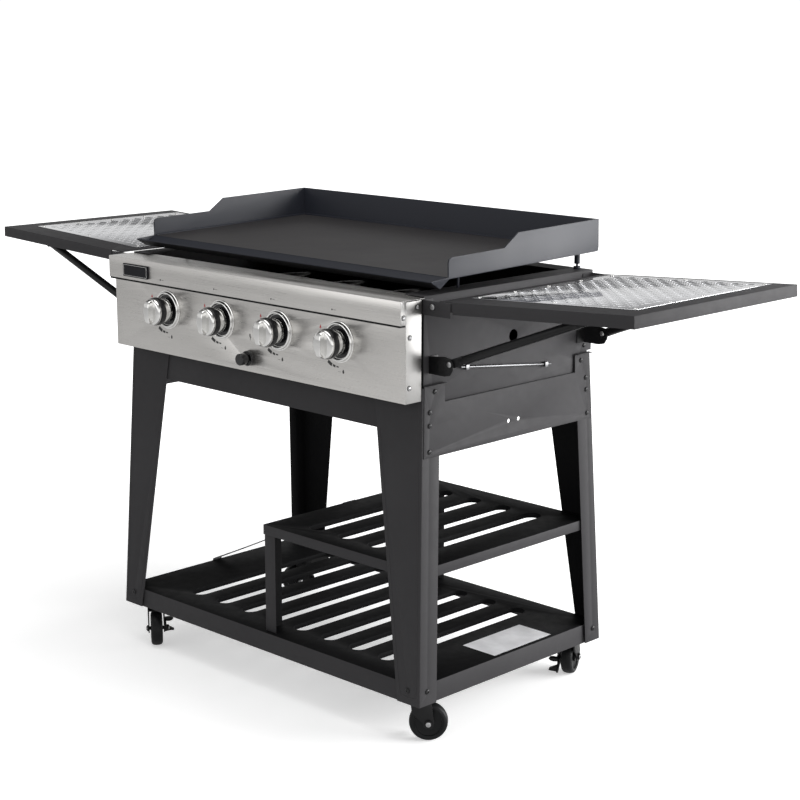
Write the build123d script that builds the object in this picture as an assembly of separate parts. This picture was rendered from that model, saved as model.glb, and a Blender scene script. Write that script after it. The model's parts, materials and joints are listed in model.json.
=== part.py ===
from build123d import *
import os
import math

# Free-standing outdoor flat top griddle: a four-burner gas head on a splayed sheet-metal
# cart with castors, two folding side shelves and a lift-off griddle plate.
# Millimetres. +Z is up, the front faces -Y, +X is the user's right.

# ---------------------------------------------------------------- driving dimensions
# cart frustum: the four legs splay outward towards the floor
Y_MID = 3.0                      # fore-aft middle of the cart
HX_REF, HY_REF, Z_REF = 415.2, 237.0, 649.6
SLOPE_X, SLOPE_Y = 0.0364, 0.0461
LEG_BOTTOM, LEG_TOP = 86.0, 672.0
LEG_T = 2.0                      # leg sheet
FLANGE_W = 45.6                  # constant side flange of a leg
APRON_T = 1.4
APRON_TOP, APRON_GAP, APRON_BOTTOM = 677.0, 641.4, 545.0
FRONT_APRON_BOTTOM, FRONT_APRON_TOP = 585.0, 646.0
# shelves of the cart
SHELF_Z, SHELF_RIM, SHELF_T = 124.0, 39.0, 1.5
SHELF_X, SHELF_Y0, SHELF_Y1 = 430.0, -255.4, 260.0
SLOT_W, SLOT_PITCH, SLOT_Y0, SLOT_Y1 = 38.0, 79.2, -200.0, 208.0
MID_Z, MID_RIM = 341.5, 20.0
MID_X0, MID_X1, MID_Y0, MID_Y1 = -2.0, 423.4, -245.8, 240.0
MID_SLOT_X, MID_SLOT_PITCH, MID_SLOT_Y0, MID_SLOT_Y1 = 92.0, 80.0, -203.0, 188.0
SLOT_LIP = 10.0                  # depth of the turned-down lip round each slot
# castors
WHEEL_R, WHEEL_W, AXLE_R, TRAIL = 36.5, 24.0, 4.0, 27.0
CASTOR_X, CASTOR_Y = 384.0, 223.0
CASTOR_HEADING = {"fr": 223.0, "fl": 144.0, "rr": 293.0, "rl": 60.0}
BRAKE_REST = {"fr": 22.0, "fl": 0.0, "rr": 22.0, "rl": 0.0}
BRAKE_THROW = 22.0
# head
HEAD_X, HEAD_T = 412.0, 1.5      # outer face and sheet of the side panels
HEAD_Y0, HEAD_Y1, HEAD_Z0, HEAD_Z1 = -227.5, 244.0, 615.0, 836.0
PANEL_X, PANEL_Y, PANEL_Z0, PANEL_Z1 = 413.2, -274.4, 649.7, 831.0
FASCIA_X, FASCIA_Y, FASCIA_Z0, FASCIA_Z1, LEDGE_Y = 414.6, -288.7, 791.0, 833.7, -212.0
RETURN_Y = -234.5
KNOB_X = (-246.0, -82.0, 82.0, 246.0)
KNOB_Z, KNOB_R, KNOB_Y0, KNOB_Y1 = 740.0, 27.5, -281.4, -316.0
KNOB_PUSH = 5.0
BEZEL_R0, BEZEL_R1 = 31.0, 38.2
STEM_R, STEM_FIT = 4.0, 0.05
IGNITER_X, IGNITER_Z = -2.0, 676.0
BURNER_Z, BURNER_R = 742.0, 13.0
BURNER_RISE, BURNER_FALL = 769.0, 2.6   # height of a burner 20 mm forward of the middle, and its slope to the rear
# griddle plate, tilted so that fat runs forward
PLATE_TILT, PLATE_Z = 1.41, 868.7
PLATE_X, PLATE_Y0, PLATE_Y1, WALL_T, FLOOR_T = 417.6, -170.1, 253.5, 3.0, 3.0
WALL_LOW, WALL_HIGH, STEP_Y0, STEP_Y1 = 34.2, 58.6, -21.1, 17.9
FOOT_X, FOOT_FRONT_Y, FOOT_REAR_Y = 384.0, -110.0, 230.0
# folding side shelves
HINGE_X, HINGE_Z, HINGE_R = 437.0, 821.0, 3.0
SIDE_Y0, SIDE_Y1, SIDE_L0, SIDE_L1 = -231.5, 238.9, 44.4, 437.3
SIDE_TOP, SIDE_BOTTOM, SIDE_T = 10.1, -11.4, 1.5
TILT = {"right": 3.52, "left": 2.1}
BRACE_X, BRACE_Z, BRACE_L, BRACE_R = 462.0, 720.0, 318.0, 8.0
BRACE_ANGLE = {"right": 20.8, "left": 20.2}
BRACE_Y = (-212.0, 219.0)


def box(x0, x1, y0, y1, z0, z1):
    return Pos((x0 + x1) / 2, (y0 + y1) / 2, (z0 + z1) / 2) * Box(abs(x1 - x0), abs(y1 - y0), abs(z1 - z0))


def cyl(axis, r, a, b, u, v):
    """A cylinder along axis from a to b, with its centre line at (u, v) on the other two axes."""
    h, m = abs(b - a), (a + b) / 2
    c = Cylinder(r, h)
    if axis == "x":
        return Pos(m, u, v) * Rot(0, 90, 0) * c
    if axis == "y":
        return Pos(u, m, v) * Rot(90, 0, 0) * c
    return Pos(u, v, m) * c


def prism_yz(pts, x0, x1):
    return extrude(Plane.YZ.offset(x0) * make_face(Polyline(*pts, close=True)), x1 - x0)


def prism_xz(pts, y0, y1):
    # Plane.XZ faces -Y, so the offset is taken towards the front
    return extrude(Plane.XZ.offset(-y1) * make_face(Polyline(*pts, close=True)), y1 - y0)


def prism_xy(pts, z0, z1):
    return extrude(Plane.XY.offset(z0) * make_face(Polyline(*pts, close=True)), z1 - z0)


def hx(z):
    return HX_REF + SLOPE_X * (Z_REF - z)


def hy(z):
    return HY_REF + SLOPE_Y * (Z_REF - z)


def between(low, high, z0, z1):
    """A solid ruled between two flat outlines at z0 and z1 with the same number of corners."""
    a = Plane.XY.offset(z0) * make_face(Polyline(*low, close=True))
    b = Plane.XY.offset(z1) * make_face(Polyline(*high, close=True))
    return Solid.make_loft([a.face().outer_wire(), b.face().outer_wire()], ruled=True)


def mirror_x(s):
    return mirror(s, about=Plane.YZ)


def mirror_y(s, y=Y_MID):
    return mirror(s, about=Plane.XZ.offset(-y))


def rotated(s, origin, axis, deg):
    return s.rotate(Axis(origin, axis), deg)


def solids(*items):
    out = []
    for i in items:
        out += list(i.solids())
    return out


parts = {}


def add(name, *items):
    parts[name] = solids(*items)


# ---------------------------------------------------------------- legs
def leg_outline(z):
    x, y, t = hx(z), -hy(z) + Y_MID, LEG_T
    inner = 302.0 + 0.15 * (600.0 - z)
    r = 2.4
    bend = [(x - r + r * math.cos(k * math.pi / 8), y + r - r * math.sin(k * math.pi / 8)) for k in range(5)]
    return bend + [(inner, y), (inner, y + t), (x - t, y + t), (x - t, y + FLANGE_W), (x, y + FLANGE_W)]


leg = between(leg_outline(LEG_BOTTOM), leg_outline(LEG_TOP), LEG_BOTTOM, LEG_TOP)
# one screw hole near the foot on each face, and three up the flange for the apron
for z, dy in ((112.0, 21.0),):
    leg -= cyl("x", 2.6, hx(z) - 8, hx(z) + 8, -hy(z) + Y_MID + dy, z)
    leg -= cyl("y", 2.6, -hy(z) + Y_MID - 8, -hy(z) + Y_MID + 8, hx(z) - 30, z)
for z in (556.0, 603.0, 627.0):
    leg -= cyl("x", 2.6, hx(z) - 8, hx(z) + 8, -hy(z) + Y_MID + 18, z)
leg -= cyl("x", 2.6, 400, 430, -203.0, 663.0)
add("leg_front_right", leg)
add("leg_front_left", mirror_x(leg))
add("leg_rear_right", mirror_y(leg))
add("leg_rear_left", mirror_y(mirror_x(leg)))


# ---------------------------------------------------------------- aprons
def apron_outline(z, gap=0.0):
    x, y0, y1 = hx(z) + gap, -hy(z) + Y_MID + 4.0, hy(z) + Y_MID - 4.0
    return [(x, y0), (x, y1), (x + APRON_T, y1), (x + APRON_T, y0)]


side = between(apron_outline(APRON_BOTTOM), apron_outline(APRON_TOP), APRON_BOTTOM, APRON_TOP)
side -= box(400, 430, -177, 191, APRON_GAP, 700)
side += box(hx(677) + 0.1, hx(677) + 9.5, -228.0, -178.0, APRON_TOP - 1.4, APRON_TOP)
side += box(hx(677) + 0.1, hx(677) + 9.5, 192.0, 234.0, APRON_TOP - 1.4, APRON_TOP)
side -= cyl("x", 4.0, 400, 430, -5.0, 578.0)
side -= cyl("x", 4.0, 400, 430, 23.0, 578.0)
for z in (556.0, 603.0, 627.0):
    side -= cyl("x", 2.6, 400, 430, -hy(z) + Y_MID + 18, z)
    side -= cyl("x", 2.6, 400, 430, hy(z) + Y_MID - 18, z)
side -= cyl("x", 2.6, 400, 430, -203.0, 663.0)
side -= cyl("x", 2.6, 400, 430, 209.0, 663.0)
add("apron_right", side)
add("apron_left", mirror_x(side))


def front_outline(z, w):
    y = -hy(z) + Y_MID + LEG_T + 0.15
    return [(-w, y), (w, y), (w, y + APRON_T), (-w, y + APRON_T)]


fa = between(front_outline(FRONT_APRON_BOTTOM, 405), front_outline(FRONT_APRON_TOP, 405), FRONT_APRON_BOTTOM, FRONT_APRON_TOP)
yb = -hy(FRONT_APRON_BOTTOM) + Y_MID + LEG_T + 0.15
fa += box(-405, 405, yb, yb + 16, FRONT_APRON_BOTTOM, FRONT_APRON_BOTTOM + APRON_T)
add("apron_front", fa)
add("apron_rear", mirror_y(fa))


# ---------------------------------------------------------------- slotted cart shelves
def stadium(cx, y0, y1, w, z0, z1, grow=0.0):
    r = w / 2 + grow
    return (box(cx - r, cx + r, y0 + w / 2, y1 - w / 2, z0, z1)
            + cyl("z", r, z0, z1, cx, y0 + w / 2) + cyl("z", r, z0, z1, cx, y1 - w / 2))


def tray(x0, x1, y0, y1, ztop, rim, slot_x, sy0, sy1):
    body = box(x0, x1, y0, y1, ztop - rim, ztop) - box(x0 + SHELF_T, x1 - SHELF_T, y0 + SHELF_T, y1 - SHELF_T, ztop - rim - 1, ztop - SHELF_T)
    for cx in slot_x:
        body += stadium(cx, sy0, sy1, SLOT_W, ztop - SLOT_LIP, ztop, 1.2)
    for cx in slot_x:
        body -= stadium(cx, sy0, sy1, SLOT_W, ztop - SLOT_LIP - 1.0, ztop + 1)
    return body


slots = [(k + 0.5) * SLOT_PITCH for k in range(-4, 4)]
bottom = tray(-SHELF_X, SHELF_X, SHELF_Y0, SHELF_Y1, SHELF_Z, SHELF_RIM, slots, SLOT_Y0, SLOT_Y1)
add("bottom_shelf", bottom)
mid_slots = [MID_SLOT_X + i * MID_SLOT_PITCH for i in range(4)]
mid = tray(MID_X0, MID_X1, MID_Y0, MID_Y1, MID_Z, MID_RIM, mid_slots, MID_SLOT_Y0, MID_SLOT_Y1)
add("mid_shelf", mid)


def upright(y0, s):
    z0, z1 = SHELF_Z, MID_Z - SHELF_T
    a = box(0.0, 30.0, min(y0, y0 + s * SHELF_T), max(y0, y0 + s * SHELF_T), z0, z1)
    b = box(0.0, SHELF_T, min(y0, y0 + s * 42), max(y0, y0 + s * 42), z0, z1)
    return a + b


add("mid_shelf_uprights", upright(MID_Y0 + SHELF_T, 1), upright(MID_Y1 - SHELF_T, -1))

# ---------------------------------------------------------------- castors
FORK_IN, FORK_T = 15.0, 2.5      # inner half width of the fork, and its sheet
mounts, plates = [], []
for tag, sx, sy in (("fr", 1, -1), ("fl", -1, -1), ("rr", 1, 1), ("rl", -1, 1)):
    cx, cy = sx * CASTOR_X, Y_MID + sy * CASTOR_Y
    mount = box(cx - 36, cx + 36, cy - 28, cy + 28, 84.2, SHELF_Z - SHELF_T) - box(cx - 34, cx + 34, cy - 26, cy + 26, 86.2, SHELF_Z)
    mounts.append(mount)
    plate = box(cx - 33, cx + 33, cy - 27, cy + 27, 81.7, 84.2) + cyl("z", 19, 77.6, 81.7, cx, cy)
    plate -= cyl("z", 5.05, 70, 85.5, cx, cy)
    plates.append(plate)
    # fork: crown, two tapering legs that trail behind the swivel axis, kingpin and riveted axle
    ax = -TRAIL
    w, wo = FORK_IN, FORK_IN + FORK_T
    crown = cyl("z", 18, 75.0, 77.3, 0, 0)
    neck = box(ax - 6, 6, -wo, wo, 75.0, 77.3)
    kingpin = cyl("z", 5.0, 76.0, 84.0, 0, 0)
    legs = []
    for s in (-1, 1):
        pts = [(ax - 6, 77.3), (ax + 33, 77.3), (ax + 31, 58), (ax + 10.5, 38), (ax + 9, 31), (ax + 3.5, 27), (ax - 3.5, 27), (ax - 9, 31), (ax - 10, 38)]
        y0, y1 = (w, wo) if s > 0 else (-wo, -w)
        l = prism_xz(pts, y0, y1)
        l -= cyl("y", AXLE_R, -30, 30, ax, WHEEL_R)
        legs.append(l)
    fork = crown + neck + legs[0] + legs[1] + kingpin
    axle = cyl("y", AXLE_R, -wo - 5.0, wo + 1.0, ax, WHEEL_R) + cyl("y", 6.5, -wo - 7.5, -wo - 5.0, ax, WHEEL_R) + cyl("y", 6.5, wo + 0.1, wo + 2.6, ax, WHEEL_R)
    wheel = cyl("y", WHEEL_R, -WHEEL_W / 2, WHEEL_W / 2, ax, WHEEL_R)
    wheel = fillet(wheel.edges().filter_by(GeomType.CIRCLE), 5.0)
    wheel -= cyl("y", 26, WHEEL_W / 2 - 4, WHEEL_W / 2 + 1, ax, WHEEL_R) - cyl("y", 10, WHEEL_W / 2 - 4, WHEEL_W / 2 + 1, ax, WHEEL_R)
    wheel -= cyl("y", 26, -WHEEL_W / 2 - 1, -WHEEL_W / 2 + 4, ax, WHEEL_R) - cyl("y", 10, -WHEEL_W / 2 - 1, -WHEEL_W / 2 + 4, ax, WHEEL_R)
    wheel -= cyl("y", AXLE_R + 0.06, -30, 30, ax, WHEEL_R)
    # side brake: a rocker on the axle with two foot pads, one to press it on and one to lift it off
    y1, y0 = -wo - 0.4, -wo - 3.4
    zc = WHEEL_R
    lever = prism_xz([(ax - 6, zc - 7), (ax + 3, zc - 9), (ax + 18, zc - 13), (ax + 35, zc - 19), (ax + 39, zc - 17), (ax + 38, zc - 12), (ax + 27, zc - 4),
                      (ax + 25, zc + 1), (ax + 31, zc + 8), (ax + 30, zc + 14), (ax + 22, zc + 15), (ax + 4, zc + 9), (ax - 6, zc + 7), (ax - 9, zc)], y0, y1)
    pad_on = [(y0 + 1, zc + 6), (y0 - 6, zc + 5), (y0 - 12, zc + 6.5), (y0 - 16, zc + 10.5), (y0 - 13, zc + 13.5), (y0 - 6, zc + 14.5), (y0 + 1, zc + 14)]
    pad_off = [(y0 + 1, zc - 4), (y0 - 17, zc - 14), (y0 - 17, zc - 16.5), (y0 + 1, zc - 18)]
    lever += prism_yz(pad_on, ax + 24, ax + 30.5) + prism_yz(pad_off, ax + 27, ax + 35)
    lever -= cyl("y", AXLE_R + 0.06, -60, 10, ax, WHEEL_R)
    lever = rotated(lever, (ax, 0, WHEEL_R), (0, 1, 0), BRAKE_REST[tag])
    place = Pos(cx, cy, 0) * Rot(0, 0, CASTOR_HEADING[tag])
    add("castor_fork_" + tag, place * fork, place * axle)
    add("castor_wheel_" + tag, place * wheel)
    add("castor_brake_" + tag, place * lever)
add("castor_plates", *mounts, *plates)

# ---------------------------------------------------------------- gas bottle strap
sx0, sz0, sx1, sz1, sy_ = -431.6, 126.5, -4.0, 333.0, -8.0
run = math.atan2(sz1 - sz0, sx1 - sx0)
length = math.hypot(sx1 - sx0, sz1 - sz0)
band = Pos((sx0 + sx1) / 2, sy_, (sz0 + sz1) / 2) * Rot(0, -math.degrees(run), 0) * Box(length - 6, 25, 1.4)
band += box(-433.4, -430.1, sy_ - 12.5, sy_ + 12.5, 124.2, 129.5) + box(-433.4, -430.1, sy_ - 12.5, sy_ + 12.5, 84.0, 125.0)
buckle = box(-8.5, -3.6, sy_ - 17, sy_ + 17, 322.5, 340.0) - box(-9, -5.6, sy_ - 13, sy_ + 13, 322.5, 336.0)
band -= box(-12, 5, -60, 60, 320, 345)
add("bottle_strap", band, buckle)

# ---------------------------------------------------------------- head box
sidep = box(HEAD_X - HEAD_T, HEAD_X, HEAD_Y0, HEAD_Y1, HEAD_Z0, HEAD_Z1)
sidep += box(366.0, HEAD_X, HEAD_Y0, HEAD_Y1, HEAD_Z1 - HEAD_T, HEAD_Z1)
sidep -= box(300, HEAD_X + 1, 232.0, 260, HEAD_Z0 - 1, 679.0)
sidep -= cyl("x", 12.0, 380, 430, 13.0, 736.0)
for y, z in ((-203.0, 663.0), (209.0, 663.0)):
    sidep -= cyl("x", 2.6, 400, 430, y, z)
add("head_side_right", sidep)
add("head_side_left", mirror_x(sidep))
inner = HEAD_X - HEAD_T
pan = box(-inner, inner, HEAD_Y0, HEAD_Y1 - HEAD_T, 700.0, 701.5)
pan += box(-inner, inner, HEAD_Y0, HEAD_Y0 + HEAD_T, 650.0, 828.0)
pan += box(-364.0, 364.0, HEAD_Y0, HEAD_Y0 + 22, 826.5, 828.0)
for x in KNOB_X:
    pan -= cyl("y", 9.0, HEAD_Y0 - 2, HEAD_Y0 + 3, x, BURNER_Z)
add("burner_pan", pan)
rear = box(-inner, inner, HEAD_Y1 - HEAD_T, HEAD_Y1, 679.5, HEAD_Z1 - HEAD_T)
rear += box(-364.0, 364.0, HEAD_Y1 - 46.0, HEAD_Y1, HEAD_Z1 - HEAD_T, HEAD_Z1)
add("head_rear_wall", rear)

# ---------------------------------------------------------------- stainless front
panel = box(-PANEL_X, PANEL_X, PANEL_Y, PANEL_Y + 1.2, PANEL_Z0, PANEL_Z1)
for s in (-1, 1):
    x0, x1 = sorted((s * PANEL_X, s * (PANEL_X - 1.2)))
    panel += box(x0, x1, PANEL_Y, RETURN_Y, PANEL_Z0, PANEL_Z1)
panel += box(-PANEL_X, PANEL_X, PANEL_Y, -263.0, PANEL_Z0, PANEL_Z0 + 1.2)
for x in KNOB_X:
    panel -= cyl("y", 15.0, PANEL_Y - 2, PANEL_Y + 3, x, KNOB_Z)
panel -= cyl("y", 9.6, PANEL_Y - 2, PANEL_Y + 3, IGNITER_X, IGNITER_Z)
add("control_panel", panel)
cap = box(-FASCIA_X, FASCIA_X, FASCIA_Y, FASCIA_Y + 1.2, FASCIA_Z0, FASCIA_Z1)
cap += box(-FASCIA_X, FASCIA_X, FASCIA_Y, LEDGE_Y, FASCIA_Z1 - 1.2, FASCIA_Z1)
cap += box(-FASCIA_X, FASCIA_X, FASCIA_Y, PANEL_Y - 0.1, FASCIA_Z0, FASCIA_Z0 + 1.2)
for s in (-1, 1):
    x0, x1 = sorted((s * FASCIA_X, s * (FASCIA_X - 1.2)))
    cap += box(x0, x1, FASCIA_Y, PANEL_Y - 0.1, FASCIA_Z0, FASCIA_Z1)
# the ledge narrows behind the side returns so that it passes between the head's rims
for s in (-1, 1):
    x0, x1 = sorted((s * 364.5, s * 430))
    cap -= box(x0, x1, -229.0, -200, 829, 841)
add("upper_fascia", cap)

rings = []
for x in KNOB_X:
    ring = cyl("y", BEZEL_R1, PANEL_Y - 0.05, PANEL_Y - 6.6, x, KNOB_Z) - cyl("y", BEZEL_R0, PANEL_Y + 1, PANEL_Y - 12, x, KNOB_Z)
    ring = chamfer(ring.edges().filter_by(GeomType.CIRCLE).group_by(Axis.Y)[0], 2.0)
    ring += cyl("y", BEZEL_R0 + 0.5, PANEL_Y - 0.05, PANEL_Y - 1.2, x, KNOB_Z) - cyl("y", 15.0, PANEL_Y + 1, PANEL_Y - 2, x, KNOB_Z)
    rings.append(ring)
add("knob_bezels", *rings)

for i, x in enumerate(KNOB_X, 1):
    stem = cyl("y", STEM_R, -300.0, -250.0, x, KNOB_Z) - box(x - 5, x + 5, -301, -284, KNOB_Z + 2.6, KNOB_Z + 6)
    add("valve_stem_%d" % i, stem)
    knob = cyl("y", KNOB_R, KNOB_Y1 + 2.0, KNOB_Y0, x, KNOB_Z)
    knob = chamfer(knob.edges().filter_by(GeomType.CIRCLE).group_by(Axis.Y)[0], 3.0)
    knob += box(x - 6.5, x + 6.5, -329.0, KNOB_Y1 + 3, KNOB_Z - 25.0, KNOB_Z + 25.0)
    bore = cyl("y", STEM_R + STEM_FIT, -306.5, KNOB_Y0 + 2, x, KNOB_Z)
    flat = box(x - 5, x + 5, -306.6, -284.0 - KNOB_PUSH - 1.0, KNOB_Z + 2.75, KNOB_Z + 6)
    knob -= bore - flat
    add("knob_%d" % i, knob)

# ---------------------------------------------------------------- gas train
valves = []
for x in KNOB_X:
    v = box(x - 12, x + 12, -262, -233.5, 726, 754) + box(x - 8, x + 8, -262, -233.5, 716, 726.5)
    v -= cyl("y", STEM_R + STEM_FIT, -263, -249.0, x, KNOB_Z)
    v += cyl("y", 5.0, -234, -228.6, x, BURNER_Z)
    v -= cyl("x", 9.0, x - 20, x + 20, -247.0, 707.5)
    valves.append(v)
add("gas_valves", *valves)
man = cyl("x", 9.0, -345, 290, -247.0, 707.5) - cyl("x", 7.0, -336, 280, -247.0, 707.5)
add("gas_manifold", man)
INLET_X = -354.0
inlet = box(INLET_X - 9, INLET_X + 9, -256, -238, 698.5, 716.5) + cyl("z", 7.94, 672.0, 698.5, INLET_X, -247.0) - cyl("z", 3.0, 671, 706, INLET_X, -247.0)
add("gas_inlet", inlet)
burn, elec = [], []
slope = math.tan(math.radians(BURNER_FALL))
for x in KNOB_X:
    z_at = lambda y: BURNER_RISE - slope * (y - 20.0)
    ya, yb = -130.0, 205.0
    ln = math.hypot(yb - ya, z_at(yb) - z_at(ya))
    place = Pos(x, (ya + yb) / 2, (z_at(ya) + z_at(yb)) / 2) * Rot(-BURNER_FALL, 0, 0) * Rot(90, 0, 0)
    tube = place * Cylinder(BURNER_R, ln)
    za = z_at(ya)
    dy, dz = 55.0, za - BURNER_Z
    riser = Pos(x, -182.0 + dy / 2, BURNER_Z + dz / 2) * Rot(math.degrees(math.atan2(dz, dy)), 0, 0) * Rot(90, 0, 0) * Cylinder(11.0, math.hypot(dy, dz) + 6)
    horn = cyl("y", 11.0, HEAD_Y0 + 4.0, -178.0, x, BURNER_Z)
    b = tube + riser + horn
    b -= (place * Cylinder(BURNER_R - 1.2, ln - 5)) + cyl("y", 9.8, HEAD_Y0 + 12.0, -176.0, x, BURNER_Z)
    b -= Pos(x, -182.0 + dy / 2, BURNER_Z + dz / 2) * Rot(math.degrees(math.atan2(dz, dy)), 0, 0) * Rot(90, 0, 0) * Cylinder(9.8, math.hypot(dy, dz))
    b -= cyl("y", 5.2, HEAD_Y0 - 2.0, HEAD_Y0 + 20, x, BURNER_Z)
    foot = box(x - 10, x + 10, 190.0, 198.0, 701.5, z_at(194.0) - BURNER_R + 1.0)
    foot2 = box(x - 10, x + 10, -215.0, -208.0, 701.5, BURNER_Z - 11.0 + 0.6)
    burn.append(b + foot + foot2)
    elec.append(cyl("z", 3.0, 701.5, 772.0, x + 19.5, -90.0))
add("burners", *burn)
add("igniter_electrodes", *elec)
ig = cyl("y", 14.4, PANEL_Y - 0.05, PANEL_Y - 7.0, IGNITER_X, IGNITER_Z) + cyl("y", 9.5, PANEL_Y, -235.0, IGNITER_X, IGNITER_Z)
ig -= cyl("y", 11.6, PANEL_Y - 9, PANEL_Y - 1.5, IGNITER_X, IGNITER_Z)
ig -= cyl("y", 5.5, PANEL_Y - 9, -262.0, IGNITER_X, IGNITER_Z)
add("igniter_body", ig)
bt = cyl("y", 11.2, -301.0, -283.5, IGNITER_X, IGNITER_Z)
bt = fillet(bt.edges().filter_by(GeomType.CIRCLE).group_by(Axis.Y)[0], 2.5)
bt += cyl("y", 5.1, -284.0, -270.0, IGNITER_X, IGNITER_Z)
add("igniter_button", bt)

# ---------------------------------------------------------------- griddle plate
def tilted(s):
    return rotated(s, (0, 0, PLATE_Z), (1, 0, 0), PLATE_TILT)


B = PLATE_Z
walls = []
wall_pts = [(PLATE_Y0, B - 3.5), (PLATE_Y0, B + WALL_LOW - 9), (PLATE_Y0 + 2.5, B + WALL_LOW - 2.6), (PLATE_Y0 + 9, B + WALL_LOW),
            (STEP_Y0, B + WALL_LOW), (STEP_Y1, B + WALL_HIGH), (PLATE_Y1, B + WALL_HIGH), (PLATE_Y1, B + 4.0), (PLATE_Y1 - 2.2, B - 1.3), (PLATE_Y1 - 7.5, B - 3.5)]
gr = prism_yz(wall_pts, PLATE_X - WALL_T, PLATE_X) + prism_yz(wall_pts, -PLATE_X, -PLATE_X + WALL_T)
gr += box(-PLATE_X + 1, PLATE_X - 1, PLATE_Y1 - WALL_T, PLATE_Y1, B - 1.5, B + WALL_HIGH)
gr += box(-PLATE_X + 1, PLATE_X - 1, PLATE_Y0, PLATE_Y1 - 1, B - 3.5, B - 0.5)
# V gutter along the front, closed by triangular end plates
g = [(PLATE_Y0 + 1, B - 0.5), (PLATE_Y0 - 23, B - 14.5), (-213.5, B - 2.5), (-215.5, B - 4.2), (PLATE_Y0 - 23, B - 18.5), (PLATE_Y0 + 1, B - 3.5)]
gr += prism_yz(g, -PLATE_X, PLATE_X)
end = [(PLATE_Y0 + 1, B - 0.5), (PLATE_Y0 - 23, B - 16.5), (-214.5, B - 3.0)]
gr += prism_yz(end, PLATE_X - 2.0, PLATE_X) + prism_yz(end, -PLATE_X, -PLATE_X + 2.0)
gr = tilted(gr)
# feet welded under the plate: plain pins in front, collars with levelling studs behind
for s in (-1, 1):
    gr += cyl("z", 2.6, HEAD_Z1 + 0.3, B - 4.5, s * FOOT_X, FOOT_FRONT_Y)
    gr += cyl("z", 5.6, 846.0, B + 3.5, s * FOOT_X, FOOT_REAR_Y)
    gr += cyl("z", 2.2, HEAD_Z1 + 0.3, 847.0, s * FOOT_X, FOOT_REAR_Y)
    gr += cyl("z", 6.8, HEAD_Z1 + 0.3, HEAD_Z1 + 5.0, s * FOOT_X, FOOT_REAR_Y)
add("griddle_plate", gr)

# ---------------------------------------------------------------- folding side shelves
RAIL_A, RAIL_B = 300.0, 432.0


def side_shelf(name):
    sy0, sy1 = SIDE_Y0, SIDE_Y1
    X, Z = HINGE_X, HINGE_Z
    sh = box(X + 14, X + SIDE_L1, sy0, sy1, Z + SIDE_TOP - SIDE_T, Z + SIDE_TOP)
    sh += box(X + SIDE_L1 - SIDE_T, X + SIDE_L1, sy0, sy1, Z + SIDE_BOTTOM, Z + SIDE_TOP)
    for a, b in ((sy0, sy0 + SIDE_T), (sy1 - SIDE_T, sy1)):
        sh += box(X + SIDE_L0 + 2.2, X + SIDE_L1, a, b, Z + SIDE_BOTTOM, Z + SIDE_TOP)
    # the top narrows between the two fixed ears
    sh -= box(X + 10, X + SIDE_L0 + 2.2, sy0 - 1, sy0 + 3.4, Z - 20, Z + 20)
    sh -= box(X + 10, X + SIDE_L0 + 2.2, sy1 - 3.4, sy1 + 1, Z - 20, Z + 20)
    # hinge arms behind the ears
    for a, b in ((sy0 + SIDE_T, sy0 + 3.5), (sy1 - 3.5, sy1 - SIDE_T)):
        arm = box(X - 8, X + 80, a, b, Z - 8, Z + SIDE_TOP - SIDE_T)
        arm -= box(X + 0, X + 48, a - 0.1, b + 0.1, Z + 8, Z + 20)
        arm -= box(X - 9, X + 47, *((a - 0.1, a + 0.4) if a < 0 else (b - 0.4, b + 0.1)), Z - 9, Z + 12)
        sh += arm
    for y in (sy0, sy1):
        sh -= cyl("y", HINGE_R + 0.05, y - 6, y + 6, X, Z)
    inlay = box(X + 38.0, X + 396.0, -172.0, 222.0, Z + SIDE_TOP, Z + SIDE_TOP + 1.0)
    return sh, inlay


def brace(angle, y, s):
    """A tube with both ends pressed flat. s is +1 where the flats lie on the +Y side of the bracket plate."""
    X, Z = BRACE_X, BRACE_Z
    yc = y + s * 7.0
    tube = cyl("x", BRACE_R, X + 22, X + BRACE_L - 20, yc, Z)
    for a, b in ((-8.0, 30.0), (BRACE_L - 28.0, BRACE_L + 7.0)):
        y0, y1 = sorted((y + s * 0.4, y + s * 3.6))
        flat = box(X + a, X + b, y0, y1, Z - 8.0, Z + 8.0)
        tube += flat
    for a in (12.0, BRACE_L - 24.0):
        tube += box(X + a, X + a + 14, *sorted((y + s * 0.4, y + s * 8.0)), Z - 7.0, Z + 7.0)
    tube -= cyl("y", HINGE_R + 0.05, y - 20, y + 20, X, Z)
    tube -= cyl("y", HINGE_R + 0.05, y - 20, y + 20, X + BRACE_L, Z)
    return rotated(tube, (X, 0, Z), (0, 1, 0), -angle)


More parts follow.
